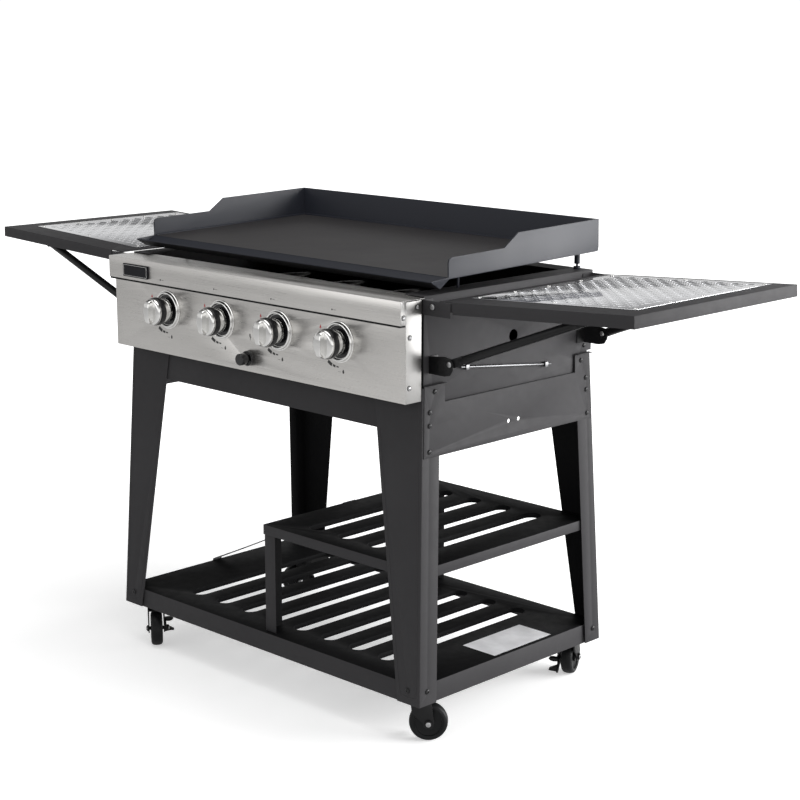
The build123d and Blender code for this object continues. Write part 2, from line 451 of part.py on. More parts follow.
pins, ears, brackets = [], [], []
for sname, mir in (("right", False), ("left", True)):
    m = mirror_x if mir else (lambda q: q)
    sh, inl = side_shelf(sname)
    t = lambda q: rotated(q, (HINGE_X, 0, HINGE_Z), (0, 1, 0), -TILT[sname])
    add("side_shelf_" + sname, m(t(sh)))
    add("shelf_inlay_" + sname, m(t(inl)))
    side_braces = []
    for y, s, tag in ((BRACE_Y[0], 1, "front"), (BRACE_Y[1], -1, "rear")):
        side_braces.append(m(brace(BRACE_ANGLE[sname], y, s)))
        # fixed ear on the head for the shelf, with its pin
        ye = SIDE_Y0 if s > 0 else SIDE_Y1
        y0, y1 = sorted((ye, ye + s * 1.5))
        ear = box(HEAD_X, 479.0, y0, y1, 805.0, 831.0)
        yf = sorted((ye, ye + s * 26.0))
        ear += box(HEAD_X, HEAD_X + 1.5, *yf, 805.0, 831.0)
        ear -= cyl("y", HINGE_R, ye - 8, ye + 8, HINGE_X, HINGE_Z)
        ears.append(m(ear))
        pins.append(m(cyl("y", HINGE_R, ye - s * 0.1, ye + s * 6.0, HINGE_X, HINGE_Z) + cyl("y", 5.2, ye - s * 2.4, ye - s * 0.05, HINGE_X, HINGE_Z)))
        # clevis bracket for the brace
        y0, y1 = sorted((y, y - s * 2.5))
        br = prism_xz([(HEAD_X, 697), (450, 697), (463, 700), (470, 711), (470, 723), (463, 730), (450, 732), (HEAD_X, 728)], y0, y1)
        yf = sorted((y, y - s * 2.5 - s * 0.0))
        br += box(HEAD_X, HEAD_X + 2.0, *sorted((y - s * 2.5, y + s * 20.0)), 697.0, 728.0)
        br -= cyl("y", HINGE_R, y - 8, y + 8, BRACE_X, BRACE_Z)
        brackets.append(m(br))
        pins.append(m(cyl("y", HINGE_R, y - s * 2.6, y + s * 5.0, BRACE_X, BRACE_Z) + cyl("y", 5.2, y - s * 4.6, y - s * 2.55, BRACE_X, BRACE_Z)))
    add("braces_" + sname, *side_braces)
add("hinge_ears", *ears)
add("brace_brackets", *brackets)
add("pivot_pins", *pins)

# ---------------------------------------------------------------- lighting rod on the right side
RX = HEAD_X + 4.2
ry0, rz0, ry1, rz1 = -136.0, 698.2, 116.0, 668.8
ang = math.degrees(math.atan2(rz1 - rz0, ry1 - ry0))
ln = math.hypot(rz1 - rz0, ry1 - ry0)
rod = Pos(RX, (ry0 + ry1) / 2, (rz0 + rz1) / 2) * Rot(ang, 0, 0) * Rot(90, 0, 0) * Cylinder(2.6, ln)
clips = []
for k in (0.06, 0.94):
    yy, zz = ry0 + k * (ry1 - ry0), rz0 + k * (rz1 - rz0)
    c = box(HEAD_X, RX + 4.6, yy - 4, yy + 4, zz - 4.4, zz + 4.4)
    c -= Pos(RX, yy, zz) * Rot(ang, 0, 0) * Rot(90, 0, 0) * Cylinder(2.6, 20)
    clips.append(c)
add("lighting_rod", rod, *clips)

# ---------------------------------------------------------------- screws
screws = []


def screw_x(s, x, y, z, r=4.6, shank=2.6, depth=4.5, base=2.0):
    c = cyl("x", r, s * x, s * (x + base), y, z) + cyl("x", shank, s * (x + base - 0.2), s * (x - depth), y, z)
    return c


def screw_y(s, x, y, z, r=4.6, shank=2.6, depth=3.2, base=2.0):
    c = cyl("y", r, y, y + s * base, x, z) + cyl("y", shank, y + s * (base - 0.2), y - s * depth, x, z)
    return c


for s in (-1, 1):
    for t in (-1, 1):
        # foot screws
        z = 112.0
        yy = Y_MID + t * (hy(z) - 21.0)
        screws.append(screw_x(s, hx(z) + 0.25, yy, z, depth=2.4))
        screws.append(screw_y(t, s * (hx(z) - 30), Y_MID + t * (hy(z) + 0.3), z, depth=2.4))
        for z in (556.0, 603.0, 627.0):
            screws.append(screw_x(s, hx(z) + APRON_T + 0.25, Y_MID + t * (hy(z) - 18), z, depth=3.8))
    for y in (-203.0, 209.0):
        screws.append(screw_x(s, hx(663) + APRON_T + 0.25, y, 663.0, depth=3.8))
add("cart_screws", *screws)


# ---------------------------------------------------------------- shared origin, then STEP files
comp = Compound(children=[s for v in parts.values() for s in [x.moved(Location()) for x in v]])
bb = comp.bounding_box()
shift = Vector(-(bb.min.X + bb.max.X) / 2, -(bb.min.Y + bb.max.Y) / 2, -bb.min.Z)
print("shift", round(shift.X, 3), round(shift.Y, 3), round(shift.Z, 3), "size", bb.size)
os.makedirs("parts", exist_ok=True)
for name, items in parts.items():
    moved = [s.moved(Location(shift)) for s in items]
    export_step(moved[0] if len(moved) == 1 else Compound(moved), "parts/%s.step" % name)
print(len(parts), "nodes")
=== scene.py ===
import bpy
import bmesh
import json
import math
import random
from mathutils import Matrix, Vector

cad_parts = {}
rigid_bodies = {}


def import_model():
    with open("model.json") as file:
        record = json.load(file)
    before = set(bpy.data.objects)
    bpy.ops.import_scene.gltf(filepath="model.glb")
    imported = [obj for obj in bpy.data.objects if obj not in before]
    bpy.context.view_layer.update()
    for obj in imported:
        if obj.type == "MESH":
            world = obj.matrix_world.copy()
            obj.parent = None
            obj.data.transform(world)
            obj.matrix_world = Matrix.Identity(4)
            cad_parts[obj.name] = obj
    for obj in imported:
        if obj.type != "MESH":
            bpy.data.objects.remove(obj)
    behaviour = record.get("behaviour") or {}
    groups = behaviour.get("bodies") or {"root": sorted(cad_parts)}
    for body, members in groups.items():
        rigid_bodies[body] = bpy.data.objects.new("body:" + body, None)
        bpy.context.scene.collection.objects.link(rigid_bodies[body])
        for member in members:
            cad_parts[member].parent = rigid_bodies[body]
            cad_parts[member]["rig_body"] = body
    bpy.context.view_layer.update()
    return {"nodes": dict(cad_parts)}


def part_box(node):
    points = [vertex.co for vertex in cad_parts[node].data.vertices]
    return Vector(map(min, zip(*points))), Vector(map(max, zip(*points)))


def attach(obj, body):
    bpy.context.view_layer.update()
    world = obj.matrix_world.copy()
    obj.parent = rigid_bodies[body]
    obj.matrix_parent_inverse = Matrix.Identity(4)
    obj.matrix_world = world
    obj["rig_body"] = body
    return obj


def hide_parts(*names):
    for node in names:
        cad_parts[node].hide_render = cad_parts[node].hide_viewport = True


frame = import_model()
random.seed(7)

# ------------------------------------------------------------------ design frame
# Design coordinates are millimetres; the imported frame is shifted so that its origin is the
# centre of the object's box on the floor. The shift is read back from the control panel.
plo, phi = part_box("control_panel")
DX = (plo.x + phi.x) / 2
DY = plo.y + 0.2744
DZ = plo.z - 0.6497


def D(x, y, z):
    return Vector((x / 1000 + DX, y / 1000 + DY, z / 1000 + DZ))


# ------------------------------------------------------------------ material helpers
def mat(name):
    m = bpy.data.materials.new(name)
    m.use_nodes = True
    nt = m.node_tree
    b = nt.nodes["Principled BSDF"]
    return m, nt, b


def node(nt, kind, **props):
    n = nt.nodes.new(kind)
    for k, v in props.items():
        setattr(n, k, v)
    return n


def coords(nt, scale=(1, 1, 1), rot=(0, 0, 0)):
    tc = node(nt, "ShaderNodeTexCoord")
    mp = node(nt, "ShaderNodeMapping")
    mp.inputs["Scale"].default_value = scale
    mp.inputs["Rotation"].default_value = rot
    nt.links.new(tc.outputs["Object"], mp.inputs["Vector"])
    return mp.outputs["Vector"]


def noise(nt, vec, scale, detail=2.0, rough=0.5):
    n = node(nt, "ShaderNodeTexNoise")
    n.inputs["Scale"].default_value = scale
    n.inputs["Detail"].default_value = detail
    n.inputs["Roughness"].default_value = rough
    nt.links.new(vec, n.inputs["Vector"])
    return n.outputs["Fac"]


def ramp(nt, fac, stops):
    r = node(nt, "ShaderNodeValToRGB")
    while len(r.color_ramp.elements) < len(stops):
        r.color_ramp.elements.new(0.5)
    for e, (p, c) in zip(r.color_ramp.elements, stops):
        e.position = p
        e.color = (*c, 1) if len(c) == 3 else c
    nt.links.new(fac, r.inputs["Fac"])
    return r.outputs["Color"]


def maprange(nt, fac, a, b, lo, hi):
    r = node(nt, "ShaderNodeMapRange")
    r.inputs["From Min"].default_value = a
    r.inputs["From Max"].default_value = b
    r.inputs["To Min"].default_value = lo
    r.inputs["To Max"].default_value = hi
    nt.links.new(fac, r.inputs["Value"])
    return r.outputs["Result"]


def bump(nt, fac, strength, dist, normal=None):
    b = node(nt, "ShaderNodeBump")
    b.inputs["Strength"].default_value = strength
    b.inputs["Distance"].default_value = dist
    nt.links.new(fac, b.inputs["Height"])
    if normal is not None:
        nt.links.new(normal, b.inputs["Normal"])
    return b.outputs["Normal"]


def painted(name, lo, hi, rough=0.42, grain=1500.0, bump_s=0.35, coat=0.0, metallic=0.0, spec=0.5):
    """Powder coat: a dark colour that drifts a little, over a fine orange-peel surface."""
    m, nt, b = mat(name)
    v = coords(nt)
    big = noise(nt, v, 6.0, 3)
    col = ramp(nt, big, [(0.3, lo), (0.7, hi)])
    nt.links.new(col, b.inputs["Base Color"])
    fine = noise(nt, v, grain, 2, 0.6)
    mid = noise(nt, v, 60.0, 3)
    r = maprange(nt, mid, 0.3, 0.7, rough - 0.04, rough + 0.05)
    nt.links.new(r, b.inputs["Roughness"])
    n = bump(nt, fine, bump_s, 0.00012)
    nt.links.new(n, b.inputs["Normal"])
    b.inputs["Metallic"].default_value = metallic
    b.inputs["Specular IOR Level"].default_value = spec
    b.inputs["Coat Weight"].default_value = coat
    b.inputs["Coat Roughness"].default_value = 0.3
    return m


def brushed(name, col, rough=0.3, along="x", streak=0.16, tint=0.05, scale=900.0):
    """Brushed sheet: grain lines drawn along one axis, in roughness and a very fine bump."""
    m, nt, b = mat(name)
    s = {"x": (0.012, 1, 1), "y": (1, 0.012, 1), "z": (1, 1, 0.012)}[along]
    v = coords(nt, s)
    g = noise(nt, v, scale, 3, 0.65)
    w = noise(nt, coords(nt), 3.0, 3, 0.6)
    lo = tuple(c * (1 - tint) for c in col)
    hi = tuple(min(1, c * (1 + tint)) for c in col)
    cg = ramp(nt, g, [(0.25, lo), (0.75, hi)])
    nt.links.new(cg, b.inputs["Base Color"])
    r = maprange(nt, g, 0.25, 0.75, rough - streak / 2, rough + streak / 2)
    r2 = node(nt, "ShaderNodeMath", operation="MULTIPLY_ADD")
    nt.links.new(w, r2.inputs[0])
    r2.inputs[1].default_value = 0.10
    nt.links.new(r, r2.inputs[2])
    nt.links.new(r2.outputs[0], b.inputs["Roughness"])
    nt.links.new(bump(nt, g, 0.10, 0.00003), b.inputs["Normal"])
    b.inputs["Metallic"].default_value = 1.0
    b.inputs["Anisotropic"].default_value = 0.4
    return m


def polished(name, col, rough=0.09, wear=0.06):
    m, nt, b = mat(name)
    v = coords(nt)
    w = noise(nt, v, 40.0, 4, 0.6)
    nt.links.new(ramp(nt, w, [(0.3, tuple(c * 0.94 for c in col)), (0.7, col)]), b.inputs["Base Color"])
    nt.links.new(maprange(nt, w, 0.3, 0.75, rough, rough + wear), b.inputs["Roughness"])
    nt.links.new(bump(nt, noise(nt, v, 700.0, 2), 0.03, 0.00003), b.inputs["Normal"])
    b.inputs["Metallic"].default_value = 1.0
    return m


def plastic(name, col, rough=0.3, grain=900.0, bump_s=0.1, spec=0.5):
    m, nt, b = mat(name)
    v = coords(nt)
    w = noise(nt, v, 25.0, 3)
    nt.links.new(ramp(nt, w, [(0.3, tuple(c * 0.85 for c in col)), (0.7, tuple(min(1, c * 1.1) for c in col))]), b.inputs["Base Color"])
    nt.links.new(maprange(nt, w, 0.3, 0.7, rough - 0.04, rough + 0.06), b.inputs["Roughness"])
    nt.links.new(bump(nt, noise(nt, v, grain, 2), bump_s, 0.0001), b.inputs["Normal"])
    b.inputs["Specular IOR Level"].default_value = spec
    return m


def webbing_mat(name):
    m, nt, b = mat(name)
    v = coords(nt)
    w1 = node(nt, "ShaderNodeTexWave", wave_type="BANDS", bands_direction="Y")
    w1.inputs["Scale"].default_value = 260.0
    w1.inputs["Distortion"].default_value = 0.6
    nt.links.new(v, w1.inputs["Vector"])
    w2 = node(nt, "ShaderNodeTexWave", wave_type="BANDS", bands_direction="X")
    w2.inputs["Scale"].default_value = 180.0
    w2.inputs["Distortion"].default_value = 0.6
    nt.links.new(v, w2.inputs["Vector"])
    mx = node(nt, "ShaderNodeMath", operation="MULTIPLY")
    nt.links.new(w1.outputs["Fac"], mx.inputs[0])
    nt.links.new(w2.outputs["Fac"], mx.inputs[1])
    nt.links.new(ramp(nt, mx.outputs[0], [(0.0, (0.008, 0.008, 0.009)), (1.0, (0.028, 0.028, 0.03))]), b.inputs["Base Color"])
    nt.links.new(bump(nt, mx.outputs[0], 0.6, 0.0003), b.inputs["Normal"])
    b.inputs["Roughness"].default_value = 0.85
    b.inputs["Sheen Weight"].default_value = 0.25
    return m


M = {}
M["powder"] = painted("powder_black", (0.037, 0.036, 0.038), (0.042, 0.041, 0.043), 0.56, bump_s=0.4, spec=0.10)
# A much darker copy of the powder coat: painted shade for shelf tops, inner leg faces and inward post faces.
M["powder_shade"] = painted("powder_shaded", (0.0054, 0.0054, 0.0058), (0.0078, 0.0078, 0.0083), 0.62, bump_s=0.4, spec=0.05)
# A darker copy of the powder coat: painted shade for the parts inside the head, the plate underside and the dark
# strips in seams and gaps.
M["powder_in"] = painted("powder_inner", (0.007, 0.007, 0.0075), (0.010, 0.010, 0.0105), 0.65, spec=0.15)
M["castor"] = painted("castor_steel", (0.0055, 0.0055, 0.006), (0.008, 0.008, 0.0085), 0.36, grain=1100.0, spec=0.22)
M["steel"] = brushed("stainless_sheet", (0.63, 0.615, 0.595), 0.26, "x", 0.16, 0.07, 1100.0)
# Side returns: grain runs up and down, and the colour is a darker copy of the sheet, painted shade on the side faces.
M["steel_return"] = brushed("stainless_return_shade", (0.30, 0.296, 0.29), 0.42, "z", 0.10, 0.05, 1100.0)
M["steel_bezel"] = brushed("stainless_bezel", (0.66, 0.65, 0.63), 0.22, "y", 0.10, 0.05, 700.0)
M["chrome"] = polished("bright_chrome", (0.82, 0.815, 0.80), 0.07, 0.05)
M["zinc"] = polished("zinc_plate", (0.40, 0.40, 0.405), 0.24, 0.12)
M["blackscrew"] = painted("black_screw", (0.012, 0.012, 0.013), (0.02, 0.02, 0.021), 0.34, grain=2200.0, metallic=0.4)
M["tube"] = brushed("burner_tube", (0.22, 0.215, 0.21), 0.17, "y", 0.08, 0.08, 800.0)
M["brass"] = polished("gas_brass", (0.66, 0.47, 0.2), 0.28, 0.12)
M["ceramic"] = plastic("ceramic", (0.72, 0.70, 0.66), 0.3)
M["black_plastic"] = plastic("button_plastic", (0.012, 0.012, 0.013), 0.22, 700.0, 0.05)
M["ring"] = plastic("knob_ring", (0.010, 0.010, 0.011), 0.3, 900.0, 0.08)
M["rubber"] = plastic("castor_rubber", (0.0065, 0.0068, 0.0075), 0.45, 1200.0, 0.25, 0.18)
M["rubber_face"] = plastic("castor_face", (0.0055, 0.006, 0.0065), 0.34, 900.0, 0.1, 0.18)
M["webbing"] = webbing_mat("webbing")
M["badge"] = plastic("badge_face", (0.009, 0.0095, 0.012), 0.4, 500.0, 0.03, 0.12)
M["rod"] = polished("lighting_rod", (0.16, 0.16, 0.165), 0.24, 0.12)
M["label"] = plastic("blank_label", (0.86, 0.86, 0.88), 0.45, 300.0, 0.04)
M["print_black"] = plastic("print_black", (0.02, 0.02, 0.02), 0.5)
M["print_red"] = plastic("print_red", (0.45, 0.03, 0.03), 0.5)
M["tread"] = polished("tread_plate", (0.86, 0.865, 0.885), 0.07, 0.07)


def griddle_mat(name, lo, hi, rough, metallic, spec, grain_s):
    """Enamelled plate: a satin skin with a slight oily unevenness."""
    m, nt, b = mat(name)
    v = coords(nt)
    w = noise(nt, v, 5.0, 4, 0.6)
    nt.links.new(ramp(nt, w, [(0.3, lo), (0.7, hi)]), b.inputs["Base Color"])
    nt.links.new(maprange(nt, w, 0.3, 0.7, rough - 0.04, rough + 0.05), b.inputs["Roughness"])
    nt.links.new(bump(nt, noise(nt, v, 1300.0, 3, 0.6), grain_s, 0.0001), b.inputs["Normal"])
    b.inputs["Metallic"].default_value = metallic
    b.inputs["Specular IOR Level"].default_value = spec
    return m


M["griddle"] = griddle_mat("griddle_steel", (0.015, 0.0165, 0.0235), (0.019, 0.021, 0.029), 0.42, 0.0, 0.24, 0.25)
M["griddle_floor"] = griddle_mat("griddle_floor", (0.024, 0.0225, 0.0235), (0.030, 0.028, 0.029), 0.55, 0.1, 0.3, 0.5)


# ------------------------------------------------------------------ mesh helpers
def link(me, name, material, smooth_deg=35.0):
    ob = bpy.data.objects.new(name, me)
    bpy.context.scene.collection.objects.link(ob)
    if material is not None:
        me.materials.clear()
        for mm in (material if isinstance(material, (list, tuple)) else [material]):
            me.materials.append(mm)
    me.polygons.foreach_set("use_smooth", [True] * len(me.polygons))
    me.set_sharp_from_angle(angle=math.radians(smooth_deg))
    return ob


def bake(ob):
    """Applies the modifiers to the mesh."""
    dg = bpy.context.evaluated_depsgraph_get()
    me = bpy.data.meshes.new_from_object(ob.evaluated_get(dg))
    ob.modifiers.clear()
    ob.data = me
    return ob


def refine(nodename, material, width=0.0006, segments=2, body=None, name=None, angle=24.0):
    """Stands for a CAD node: the same solid with its triangles merged to faces and its edges rounded."""
    src = frame["nodes"][nodename]
    bm = bmesh.new()
    bm.from_mesh(src.data)
    bmesh.ops.remove_doubles(bm, verts=bm.verts, dist=1e-6)
    bmesh.ops.dissolve_degenerate(bm, dist=1e-6, edges=bm.edges)
    bmesh.ops.dissolve_limit(bm, angle_limit=math.radians(0.6), verts=bm.verts, edges=bm.edges, delimit=set())
    me = bpy.data.meshes.new(nodename + "_fin")
    bm.to_mesh(me)
    bm.free()
    ob = link(me, (name or nodename) + "_fin", material)
    if width > 0:
        bv = ob.modifiers.new("b", "BEVEL")
        bv.width = width
        bv.segments = segments
        bv.limit_method = "ANGLE"
        bv.angle_limit = math.radians(angle)
        bv.use_clamp_overlap = True
        bv.harden_normals = False
        bake(ob)
        ob.data.materials.clear()
        for mm in (material if isinstance(material, (list, tuple)) else [material]):
            ob.data.materials.append(mm)
    me = ob.data
    me.polygons.foreach_set("use_smooth", [True] * len(me.polygons))
    me.set_sharp_from_angle(angle=math.radians(38))
    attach(ob, src["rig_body"])
    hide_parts(nodename)
    return ob


def lathe(profile, n=48, axis="y"):
    """A closed solid turned from (r, h) points about the local axis; the ends close on the axis."""
    bm = bmesh.new()
    rings = []
    for r, h in profile:
        if r < 1e-9:
            rings.append([bm.verts.new((0, h, 0))])
        else:
            rings.append([bm.verts.new((r * math.cos(2 * math.pi * k / n), h, r * math.sin(2 * math.pi * k / n))) for k in range(n)])
    for a, b in zip(rings, rings[1:]):
        for k in range(n):
            k2 = (k + 1) % n
            if len(a) == 1 and len(b) == 1:
                continue
            if len(a) == 1:
                bm.faces.new((a[0], b[k2], b[k]))
            elif len(b) == 1:
                bm.faces.new((a[k], a[k2], b[0]))
            else:
                bm.faces.new((a[k], a[k2], b[k2], b[k]))
    bmesh.ops.recalc_face_normals(bm, faces=bm.faces)
    return bm


def bm_place(bm, mtx):
    bmesh.ops.transform(bm, matrix=mtx, verts=bm.verts)
    return bm


def join_bms(bms, name):
    me = bpy.data.meshes.new(name)
    out = bmesh.new()
    for b in bms:
        tmp = bpy.data.meshes.new("t")
        b.to_mesh(tmp)
        b.free()
        out.from_mesh(tmp)
        bpy.data.meshes.remove(tmp)
    out.to_mesh(me)
    out.free()
    return me


def axis_matrix(origin, direction):
    """Local +Y runs along direction."""
    d = Vector(direction).normalized()
    q = Vector((0, 1, 0)).rotation_difference(d)
    return Matrix.Translation(origin) @ q.to_matrix().to_4x4()


def tube_along(points, r, n=10, closed=False):
    """A round bead that follows points."""
    bm = bmesh.new()
    rings = []
    pts = [Vector(p) for p in points]
    m = len(pts)
    for i, p in enumerate(pts):
        if closed:
            t = (pts[(i + 1) % m] - pts[i - 1]).normalized()
        else:
            t = (pts[min(i + 1, m - 1)] - pts[max(i - 1, 0)]).normalized()
        a = t.cross(Vector((0.31, 0.52, 0.79))).normalized()
        b = t.cross(a).normalized()
        rings.append([bm.verts.new(p + a * r * math.cos(2 * math.pi * k / n) + b * r * math.sin(2 * math.pi * k / n)) for k in range(n)])
    # keep neighbouring rings in step
    count = m if closed else m - 1
    for i in range(count):
        A, B = rings[i], rings[(i + 1) % m]
        best = min(range(n), key=lambda s: sum((A[k].co - B[(k + s) % n].co).length for k in range(0, n, 3)))
        for k in range(n):
            bm.faces.new((A[k], A[(k + 1) % n], B[(k + 1 + best) % n], B[(k + best) % n]))
    if not closed:
        bm.faces.new(rings[0][::-1])
        bm.faces.new(rings[-1])
    bmesh.ops.recalc_face_normals(bm, faces=bm.faces)
    return bm


def slab(outline, thick, mtx):
    """A flat plate: outline in the local XZ plane, thickness towards local +Y."""
    bm = bmesh.new()
    a = [bm.verts.new((x, 0, z)) for x, z in outline]
    b = [bm.verts.new((x, thick, z)) for x, z in outline]
    bm.faces.new(a)
    bm.faces.new(b[::-1])
    k = len(a)
    for i in range(k):
        bm.faces.new((a[i], b[i], b[(i + 1) % k], a[(i + 1) % k]))
    bmesh.ops.recalc_face_normals(bm, faces=bm.faces)
    return bm_place(bm, mtx)


def round_rect(w, h, r, n=5):
    out = []
    for cx, cz, a0 in ((w / 2 - r, h / 2 - r, 0), (-w / 2 + r, h / 2 - r, 90), (-w / 2 + r, -h / 2 + r, 180), (w / 2 - r, -h / 2 + r, 270)):
        for k in range(n + 1):
            a = math.radians(a0 + 90 * k / n)
            out.append((cx + r * math.cos(a), cz + r * math.sin(a)))
    return out


def screw_head(origin, direction, r=0.0046, h=0.0024, turn=0.4, flange=False):
    """A domed head with a cross recess cut into it."""
    prof = [(r * 0.999, -0.0006), (r, 0.0), (r, h * 0.22), (r * 0.93, h * 0.52), (r * 0.74, h * 0.8), (r * 0.42, h * 0.96), (0.0, h)]
    if flange:
        prof = [(r * 1.32, -0.0006), (r * 1.34, 0.0), (r * 1.34, h * 0.16), (r * 1.22, h * 0.28), (r, h * 0.34), (r * 0.93, h * 0.6), (r * 0.74, h * 0.84), (r * 0.42, h * 0.97), (0.0, h)]
    head = lathe([(0.0, -0.0006)] + prof, 28)
    me = bpy.data.meshes.new("h")
    head.to_mesh(me)
    head.free()
    ob = bpy.data.objects.new("h", me)
    bpy.context.scene.collection.objects.link(ob)
    cut = bmesh.new()
    L, W, dp = r * 0.62, r * 0.14, h * 0.62
    plus = [(L, W), (W, W), (W, L), (-W, L), (-W, W), (-L, W), (-L, -W), (-W, -W), (-W, -L), (W, -L), (W, -W), (L, -W)]
    lo = [cut.verts.new((x * 0.55, h - dp, z * 0.55)) for x, z in plus]
    hi = [cut.verts.new((x, h + 0.001, z)) for x, z in plus]
    cut.faces.new(lo)
    cut.faces.new(hi[::-1])
    for i in range(12):
        cut.faces.new((lo[i], hi[i], hi[(i + 1) % 12], lo[(i + 1) % 12]))
    bmesh.ops.recalc_face_normals(cut, faces=cut.faces)
    bm_place(cut, Matrix.Rotation(turn, 4, "Y"))
    cme = bpy.data.meshes.new("c")
    cut.to_mesh(cme)
    cut.free()
    cob = bpy.data.objects.new("c", cme)
    bpy.context.scene.collection.objects.link(cob)
    bo = ob.modifiers.new("x", "BOOLEAN")
    bo.operation = "DIFFERENCE"
    bo.object = cob
    bo.solver = "EXACT"
    dg = bpy.context.evaluated_depsgraph_get()
    res = bpy.data.meshes.new_from_object(ob.evaluated_get(dg))
    bpy.data.objects.remove(ob)
    bpy.data.objects.remove(cob)
    out = bmesh.new()
    out.from_mesh(res)
    bpy.data.meshes.remove(res)
    return bm_place(out, axis_matrix(origin, direction))


_head_cache = {}


def heads(items, name, material, body, replaces=()):
    """Many screw heads in one piece. items are (origin, direction, r, h, turn, flange)."""
    out = bmesh.new()
    for origin, direction, r, h, turn, flange in items:
        key = (r, h, flange)
        if key not in _head_cache:
            b = screw_head(Vector((0, 0, 0)), (0, 1, 0), r, h, 0.0, flange)
            me = bpy.data.meshes.new("head_%d" % len(_head_cache))
            b.to_mesh(me)
            b.free()
            _head_cache[key] = me
        b = bmesh.new()
        b.from_mesh(_head_cache[key])
        bm_place(b, axis_matrix(origin, direction) @ Matrix.Rotation(turn, 4, "Y"))
        tmp = bpy.data.meshes.new("t")
        b.to_mesh(tmp)
        b.free()
        out.from_mesh(tmp)
        bpy.data.meshes.remove(tmp)
    me = bpy.data.meshes.new(name)
    out.to_mesh(me)
    out.free()
    ob = link(me, name, material, 30)
    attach(ob, body)
    if replaces:
        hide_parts(*replaces)
    return ob


# ------------------------------------------------------------------ carried-over sheet metal
# Shelf faces other than the outer rims take the darker powder: painted shade on the tops and inner faces.
for n in ("bottom_shelf", "mid_shelf"):
    ob = refine(n, [M["powder"], M["powder_shade"]], 0.00045, 2)
    lo_, hi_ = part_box(n)
    for p in ob.data.polygons:
        c, nn = p.center, p.normal
        rim = (abs(nn.z) < 0.5) and (min(c.x - lo_.x, hi_.x - c.x, c.y - lo_.y, hi_.y - c.y) < 0.004)
        p.material_index = 0 if rim else 1
# Rear legs: faces other than the outer side and the rear take the darker powder as painted shade.
for n in ("leg_rear_left", "leg_rear_right"):
    ob = refine(n, [M["powder"], M["powder_shade"]], 0.00045, 2)
    for p in ob.data.polygons:
        outer = p.normal.x if n.endswith("right") else -p.normal.x
        p.material_index = 0 if (outer > 0.5 or p.normal.y > 0.5) else 1
# Post faces turned inwards and to the rear take the darker powder as painted shade.
ob = refine("mid_shelf_uprights", [M["powder"], M["powder_shade"]], 0.00045, 2)
for p in ob.data.polygons:
    p.material_index = 1 if (p.normal.x > 0.5 or p.normal.y > 0.5) else 0
for n in ("leg_front_left", "leg_front_right", "head_side_left", "head_side_right", "hinge_ears",
          "side_shelf_left", "side_shelf_right", "apron_front", "apron_rear", "apron_left", "apron_right"):
    refine(n, M["powder"], 0.00045, 2)
for n in ("braces_left", "braces_right", "brace_brackets"):
    refine(n, M["castor"], 0.0008, 2)
# Parts inside the head take the darker inner powder: painted shade.
for n in ("burner_pan", "head_rear_wall"):
    refine(n, M["powder_in"], 0.0004, 1)
for n in ("control_panel", "upper_fascia"):
    ob = refine(n, [M["steel"], M["steel_return"]], 0.0005, 2)
    # Side returns take the darker stainless: painted shade.
    for p in ob.data.polygons:
        p.material_index = 1 if abs(p.normal.x) > 0.6 else 0
gp = refine("griddle_plate", [M["griddle"], M["griddle_floor"], M["powder_in"]], 0.0009, 3)
for p in gp.data.polygons:
    # The cooking floor takes its own finish; faces turned down take the darker inner powder as painted shade.
    p.material_index = 1 if (p.area > 0.05 and p.normal.z > 0.99) else (2 if p.normal.z < -0.5 else 0)
# the rolled corner where the floor meets the walls
ta = math.radians(1.41)


def on_plate(x, y, z):
    return D(x, y * math.cos(ta) - (z - 868.7) * math.sin(ta), 868.7 + y * math.sin(ta) + (z - 868.7) * math.cos(ta))


rail = [on_plate(-414.4, -166, 868.6), on_plate(-414.4, -60, 868.6), on_plate(-414.4, 60, 868.6), on_plate(-414.4, 180, 868.6), on_plate(-414.4, 246, 868.6)]
rail += [on_plate(-414.4 + 4.4 * (1 - math.cos(math.radians(a))), 246 + 4.2 * math.sin(math.radians(a)), 868.6) for a in (30, 60, 90)]
rail += [on_plate(x, 250.2, 868.6) for x in (-300, -150, 0, 150, 300)]
rail += [on_plate(414.4 - 4.4 * (1 - math.cos(math.radians(a))), 246 + 4.2 * math.sin(math.radians(a)), 868.6) for a in (90, 60, 30)]
rail += [on_plate(414.4, 246, 868.6), on_plate(414.4, 180, 868.6), on_plate(414.4, 60, 868.6), on_plate(414.4, -60, 868.6), on_plate(414.4, -166, 868.6)]
gf = link(join_bms([tube_along(rail, 0.0026, 12)], "plate_corner"), "griddle_plate_corner", M["griddle"], 60)
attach(gf, "griddle_plate")
refine("castor_plates", M["castor"], 0.0005, 1)
for t in ("fr", "fl", "rr", "rl"):
    refine("castor_fork_" + t, M["castor"], 0.0006, 2)
    refine("castor_brake_" + t, M["castor"], 0.0010, 3)
refine("burners", M["tube"], 0.0004, 1)
refine("gas_manifold", M["tube"], 0.0004, 1)
refine("gas_valves", M["brass"], 0.0006, 2)
refine("gas_inlet", M["brass"], 0.0006, 2)
refine("igniter_electrodes", M["ceramic"], 0.0004, 2)
refine("lighting_rod", M["rod"], 0.0004, 2)
refine("igniter_body", M["black_plastic"], 0.0007, 2)
refine("igniter_button", M["black_plastic"], 0.0005, 2)
for i in range(1, 5):
    refine("valve_stem_%d" % i, M["zinc"], 0.0003, 1)


